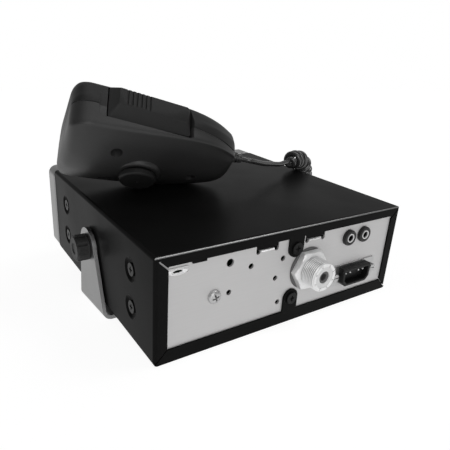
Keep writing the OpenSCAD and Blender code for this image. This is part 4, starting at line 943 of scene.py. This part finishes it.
def antenna_barrel():
    """Threaded barrel with a notched rim, on its base behind the panel, and what its mouth holds."""
    base = [(BARREL_BORE, -8.2), (10.5, -8.2), (10.5, -2.2), (7.04, -2.2), (7.04, THREAD_LOW)]
    rim = [(7.3, THREAD_HIGH), (BARREL_BORE + 0.2, THREAD_HIGH), (BARREL_BORE, THREAD_HIGH - 0.2)]
    rings = [ring(r, z, ROUND_STEPS) for r, z in base] + thread_rings()
    rings += [ring(r, z, ROUND_STEPS) for r, z in rim]
    place = rear(*ANTENNA_AT)
    # the barrel's finish has painted shade in its thread roots
    barrel = new_piece("antenna_barrel", *skinned(rings, True), place, "radio", "nickel", thread_with_painted_root_shade())
    notch = prism(rounded(BARREL_BORE - 1, 7.1, -0.4, 0.4, 0.2), THREAD_HIGH - 0.7, THREAD_HIGH + 1)
    notches = []
    for i in range(RIM_NOTCHES):
        turn = Matrix.Rotation(2*math.pi*(i + 0.5)/RIM_NOTCHES, 4, "Z")
        notches.append((notch, place @ turn))
    carved(barrel, [cutter(*gathered(notches), Matrix.Identity(4))])
    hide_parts("antenna_socket")
    lip = THREAD_HIGH - 0.2
    face = turned([(3.4, lip - 1.2), (3.4, lip - 0.2), (3.6, lip), (4.2, lip), (4.4, lip - 0.15),
                   (5.7, lip - 0.15), (5.7, lip - 1.2)])
    new_piece("antenna_resin_face", *face, place, "radio", "insulator", PALE_RESIN)
    # the contact cup is dark grey as painted shade in the bore
    cup = turned([(1.9, lip - 4), (3.38, lip - 4), (3.38, lip - 0.7), (3.2, lip - 0.5), (2.2, lip - 0.5),
                  (1.9, lip - 0.8)])
    new_piece("antenna_contact_cup", *cup, place, "radio", "insulator", CONTACT_PAINTED_SHADE)


def chamfered_nut():
    """Hexagon nut with its corners turned off at the outer face."""
    flats, low, high, bore = 20, -0.2, 3.2, 7.1
    rings = [ring(bore, low, ROUND_STEPS)]
    for z in [low, high - 1.6, high - 1.2, high - 0.8, high - 0.4, high]:
        turned_off = flats/2 - 0.1 + (high - z)*1.7
        points = []
        for j in range(ROUND_STEPS):
            across = flats/2/math.cos(math.radians(360*j/ROUND_STEPS % 60 - 30))
            points.append((*polar(min(across, turned_off), j/ROUND_STEPS), z))
        rings.append(points)
    rings += [ring(bore + 0.5, high, ROUND_STEPS), ring(bore, high - 0.5, ROUND_STEPS)]
    nut = new_piece("antenna_hexagon", *skinned(rings, True), rear(*ANTENNA_AT), "radio", "nickel",
                    PLATED_THREAD)
    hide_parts("antenna_nut")


def jacks():
    """Plated bushes in low black nuts."""
    bush = turned([(1.75, 0), (2.7, 0), (2.7, 0.8), (2.5, 1.15), (2.2, 1.2), (1.9, 1.1), (1.75, 0.8)])
    sleeve = turned([(1.8, -9), (2.7, -9), (2.7, 0), (1.8, 0)])
    body = prism(rounded(-4.6, 4.6, -4.6, 4.6, 0.6), -11.2, -9)
    nut = turned([(2.8, PANEL_FACE), (4.4, PANEL_FACE), (4.4, 0.5), (4.2, 0.95), (3.8, 1.15), (3.1, 1.15),
                  (2.8, 0.9)])
    places = [rear(*at) for at in JACKS_AT]
    bodies = [(form, at) for at in places for form in (sleeve, body)]
    body_piece = case_piece("jack_bodies", bodies, "insulator")
    case_piece("jack_bushes", [(bush, at) for at in places], "nickel")
    nut_piece = case_piece("jack_rings", [(nut, at) for at in places], "knob_black")
    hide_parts("jack_sockets")
    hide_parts("jack_nuts")


def shroud_outline(inset):
    """The power socket's keyed outline, its two lower corners cut, drawn in by inset."""
    w, h, cut = 10.9 - inset, 5.35 - inset, 2.6 - 0.4*inset
    corners = [(-w, h), (w, h), (w, -h + cut), (w - cut, -h), (-w + cut, -h), (-w, -h + cut)]
    outline = []
    for (ax, ay), (bx, by), (cx, cy) in zip(corners[-1:] + corners, corners, corners[1:] + corners[:1]):
        back = Vector((ax - bx, ay - by)).normalized()
        ahead = Vector((cx - bx, cy - by)).normalized()
        for f in (0, 0.5, 1):
            soft = 0.5*((1 - f)**2*back + f*f*ahead)
            outline.append((bx + soft.x - 0.4, by + soft.y - 0.5))
    return outline


def power_shroud():
    """Keyed shroud with soft edges, and four round pins in it."""
    levels = [(0, -0.2), (0, POWER_MOUTH - 0.5), (0.15, POWER_MOUTH - 0.15), (0.5, POWER_MOUTH),
              (1.3, POWER_MOUTH), (1.55, POWER_MOUTH - 0.2), (1.65, POWER_MOUTH - 0.6), (1.7, -5)]
    rings = [[(x, y, z) for x, y in shroud_outline(inset)] for inset, z in levels]
    place = rear(*POWER_AT)
    shroud = new_piece("power_shroud", *skinned(rings, False), place, "radio", "insulator")
    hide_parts("power_socket")
    pin = turned([(0, -6), (0.75, -6), (0.75, 1.2), (0.6, 1.7), (0.3, 1.95), (0, 2)], 24)
    collar = turned([(0.8, -6), (1.5, -6), (1.5, -2), (1.3, -1.8), (0.8, -1.8)], 24)
    places = [place @ Matrix.Translation((x, POWER_PINS_Y, 0)) for x in POWER_PINS_X]
    pin_piece = case_piece("power_prongs", [(pin, at) for at in places], "stud_steel")
    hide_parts("power_pins")
    case_piece("power_prong_wells", [(collar, at) for at in places], "insulator")


def slot_eyelet():
    """Rolled rim round the oblong slot, with a narrow opening."""
    rings = []
    for k in range(64):
        x, y = polar(1, k/64)
        inner = Vector((2.3*x, 0.62*y, PANEL_FACE))
        outer = Vector((5.2*x, 1.9*y, PANEL_FACE))
        section = []
        for i in range(9):
            f = i/8
            section.append(inner.lerp(outer, f) + Vector((0, 0, 0.75*math.sin(math.pi*f))))
        rings.append(section + [outer - Vector((0, 0, 0.3)), inner - Vector((0, 0, 0.3))])
    new_piece("slot_eyelet", *skinned(rings, True), rear(*SLOT_AT), "radio", "nickel", PLATED_THREAD)


def clip_folds():
    """Bright slanted folds of the two clips, and a black sheet behind each, as the cover's inner lip and as
    painted shade in the notch.
    """
    half = CLIP_FOLD/2
    profile = [(-0.7, PANEL_FACE - 0.2), (-0.7, PANEL_FACE + 0.3), (-0.62, PANEL_FACE + 0.48),
               (-0.2, PANEL_FACE), (0.25, PANEL_FACE - 0.56), (0.25, PANEL_FACE - 0.9)]
    folds, shade_sheets = [], []
    for x in CLIPS_X:
        rings = [[(x + side, y, z) for y, z in profile] for side in (-half, half)]
        folds.append((skinned(rings, False), rear(0, CLIP_Z)))
        # black sheet over the notch behind the clip: the cover's inner lip, and painted shade over the shelf
        shade_sheets.append((prism(rounded(x - 6.6, x + 6.6, 0.3, 4.4, 0.4), -1.9, -1.4), rear(0, CLIP_Z)))
    case_piece("clip_folds", folds, "nickel")
    case_piece("clip_notch_shade", shade_sheets, "cover_paint")


def panel_screw_head():
    """Domed screw with a cross recess."""
    profile = [(0, -6), (1.45, -6), (1.45, PANEL_FACE), (3.4, PANEL_FACE), (3.4, -0.4), (3.25, 0.1),
               (2.8, 0.6), (2, 0.95), (1, 1.15), (0, 1.2)]
    place = rear(*PANEL_SCREW_AT)
    head = new_piece("panel_screw_head", *turned(profile), place, "radio", "stud_steel", PLATED_SCREW)
    arms = []
    for turn in (15, 105):
        arm = prism(rounded(-1.9, 1.9, -0.42, 0.42, 0.2), -0.2, 3)
        arms.append(cutter(*arm, place @ Matrix.Rotation(math.radians(turn), 4, "Z")))
    carved(head, arms)
    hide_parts("rear_panel_screw")


antenna_barrel()
chamfered_nut()
jacks()
power_shroud()
slot_eyelet()
clip_folds()
panel_screw_head()


# Front: pointers in the knobs, printed marks round them and the display's unlit segments

FACE_Y = 155
KNOB_Y = 155.6
KNOBS = [
    ("channel_knob", (-52, 26), 14, 15), ("volume_knob", (36, 36), 7, 12), ("squelch_knob", (36, 15), 7, 12),
]
DIAL_MARKS = 11
DIAL_SWEEP = 270
DISPLAY_AT = (-2, 34)
FIGURES_X = (-13, -4)
METER_BLOCKS, METER_PITCH = 9, 1.9
PRINT_LOW, PRINT_HIGH = -0.05, 0.06


def front(x, y, z):
    """Axes at a point of the front: local z points out of it and local y down."""
    return CASE @ Matrix.Translation((x, y, z)) @ Matrix.Rotation(math.radians(-90), 4, "X")


def knob_pointers():
    for node, at, r, l in KNOBS:
        line = prism(rounded(-0.46, 0.46, -r + 1.54, -1.54, 0.2), l - 0.5, l - 0.1)
        new_piece(node + "_pointer", *line, front(at[0], KNOB_Y, at[1]), node, "knob_black", MARK_PAINT)


def dial_marks():
    """Short bars round each knob, longer at the ends and the middle of its travel."""
    marks = []
    for node, at, r, l in KNOBS:
        for i in range(DIAL_MARKS):
            turn = Matrix.Rotation(math.radians(DIAL_SWEEP*(i/(DIAL_MARKS - 1) - 0.5)), 4, "Z")
            reach = 2 if i % 5 == 0 else 1.3
            bar = prism(rounded(-0.25, 0.25, -r - 0.8 - reach, -r - 0.8, 0.1), -0.05, 0.08)
            marks.append((bar, front(at[0], FACE_Y, at[1]) @ turn))
    case_piece("dial_marks", marks, "face_black", MARK_PAINT)


def unlit_segments():
    """Two figures of seven bars and a row of meter blocks, as they show when the display is off."""
    w, h, t = 6, 11, 1.1
    across = [(-w/2, 0), (-w/2 + t/2, -t/2), (w/2 - t/2, -t/2),
              (w/2, 0), (w/2 - t/2, t/2), (-w/2 + t/2, t/2)]
    upright = [(-t/2, -h/4 + t/2), (0, -h/4), (t/2, -h/4 + t/2),
               (t/2, h/4 - t/2), (0, h/4), (-t/2, h/4 - t/2)]
    middle, up = DISPLAY_AT
    bars = []
    for x in FIGURES_X:
        outlines = [[(a*0.86, b + y) for a, b in across] for y in (-h/2, 0, h/2)]
        for side in (-w/2, w/2):
            outlines += [[(a + side, b*0.9 + y) for a, b in upright] for y in (-h/4, h/4)]
        place = front(middle + x, FACE_Y, up)
        bars += [(prism(outline, PRINT_LOW, PRINT_HIGH), place) for outline in outlines]
    for i in range(METER_BLOCKS):
        block = rounded(4 + i*METER_PITCH, 5.3 + i*METER_PITCH, 4.2 - 0.45*i, 6, 0.2)
        bars.append((prism(block, PRINT_LOW, PRINT_HIGH), front(middle, FACE_Y, up)))
    case_piece("display_segments", bars, "lens", CLEAR_SEGMENT)


knob_pointers()
dial_marks()
unlit_segments()


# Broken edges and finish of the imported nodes

EDGES = {
    "upper_cover": 0.25, "lower_cover": 0.25, "rear_panel": 0.12, "bracket": 0.5, "front_bezel": 0.9,
    "left_knob": 0.3, "right_knob": 0.3, "channel_knob": 0.35,
    "volume_knob": 0.3, "squelch_knob": 0.3, "scan_button": 0.5, "band_button": 0.5, "up_button": 0.5,
    "down_button": 0.5, "cover_screws": 0.15, "antenna_washer": 0.2,
    "power_plate": 0.2, "power_screws": 0.2, "mic_hang_button": 0.3, "mic_strain_relief": 0.2,
    "mic_socket": 0.2, "mic_plug": 0.3, "mic_plug_ring": 0.2,
}
RING_FLATS = ("front_bezel", "scan_button", "band_button", "up_button", "down_button")
for name, width in EDGES.items():
    softened(name, width)

for part in frame["record"]["subparts"]:
    packed = frame["nodes"][part["node"]]
    packed.data.materials.clear()
    packed.data.materials.append(FINISHES[part["material_slot"]])
# the antenna contact and washer are darkened as painted shade
for name, surface in (("antenna_insulator", PALE_RESIN), ("antenna_contact", CONTACT_PAINTED_SHADE),
                      ("antenna_washer", WASHER_PAINTED_SHADE)):
    frame["nodes"][name].data.materials[0] = surface
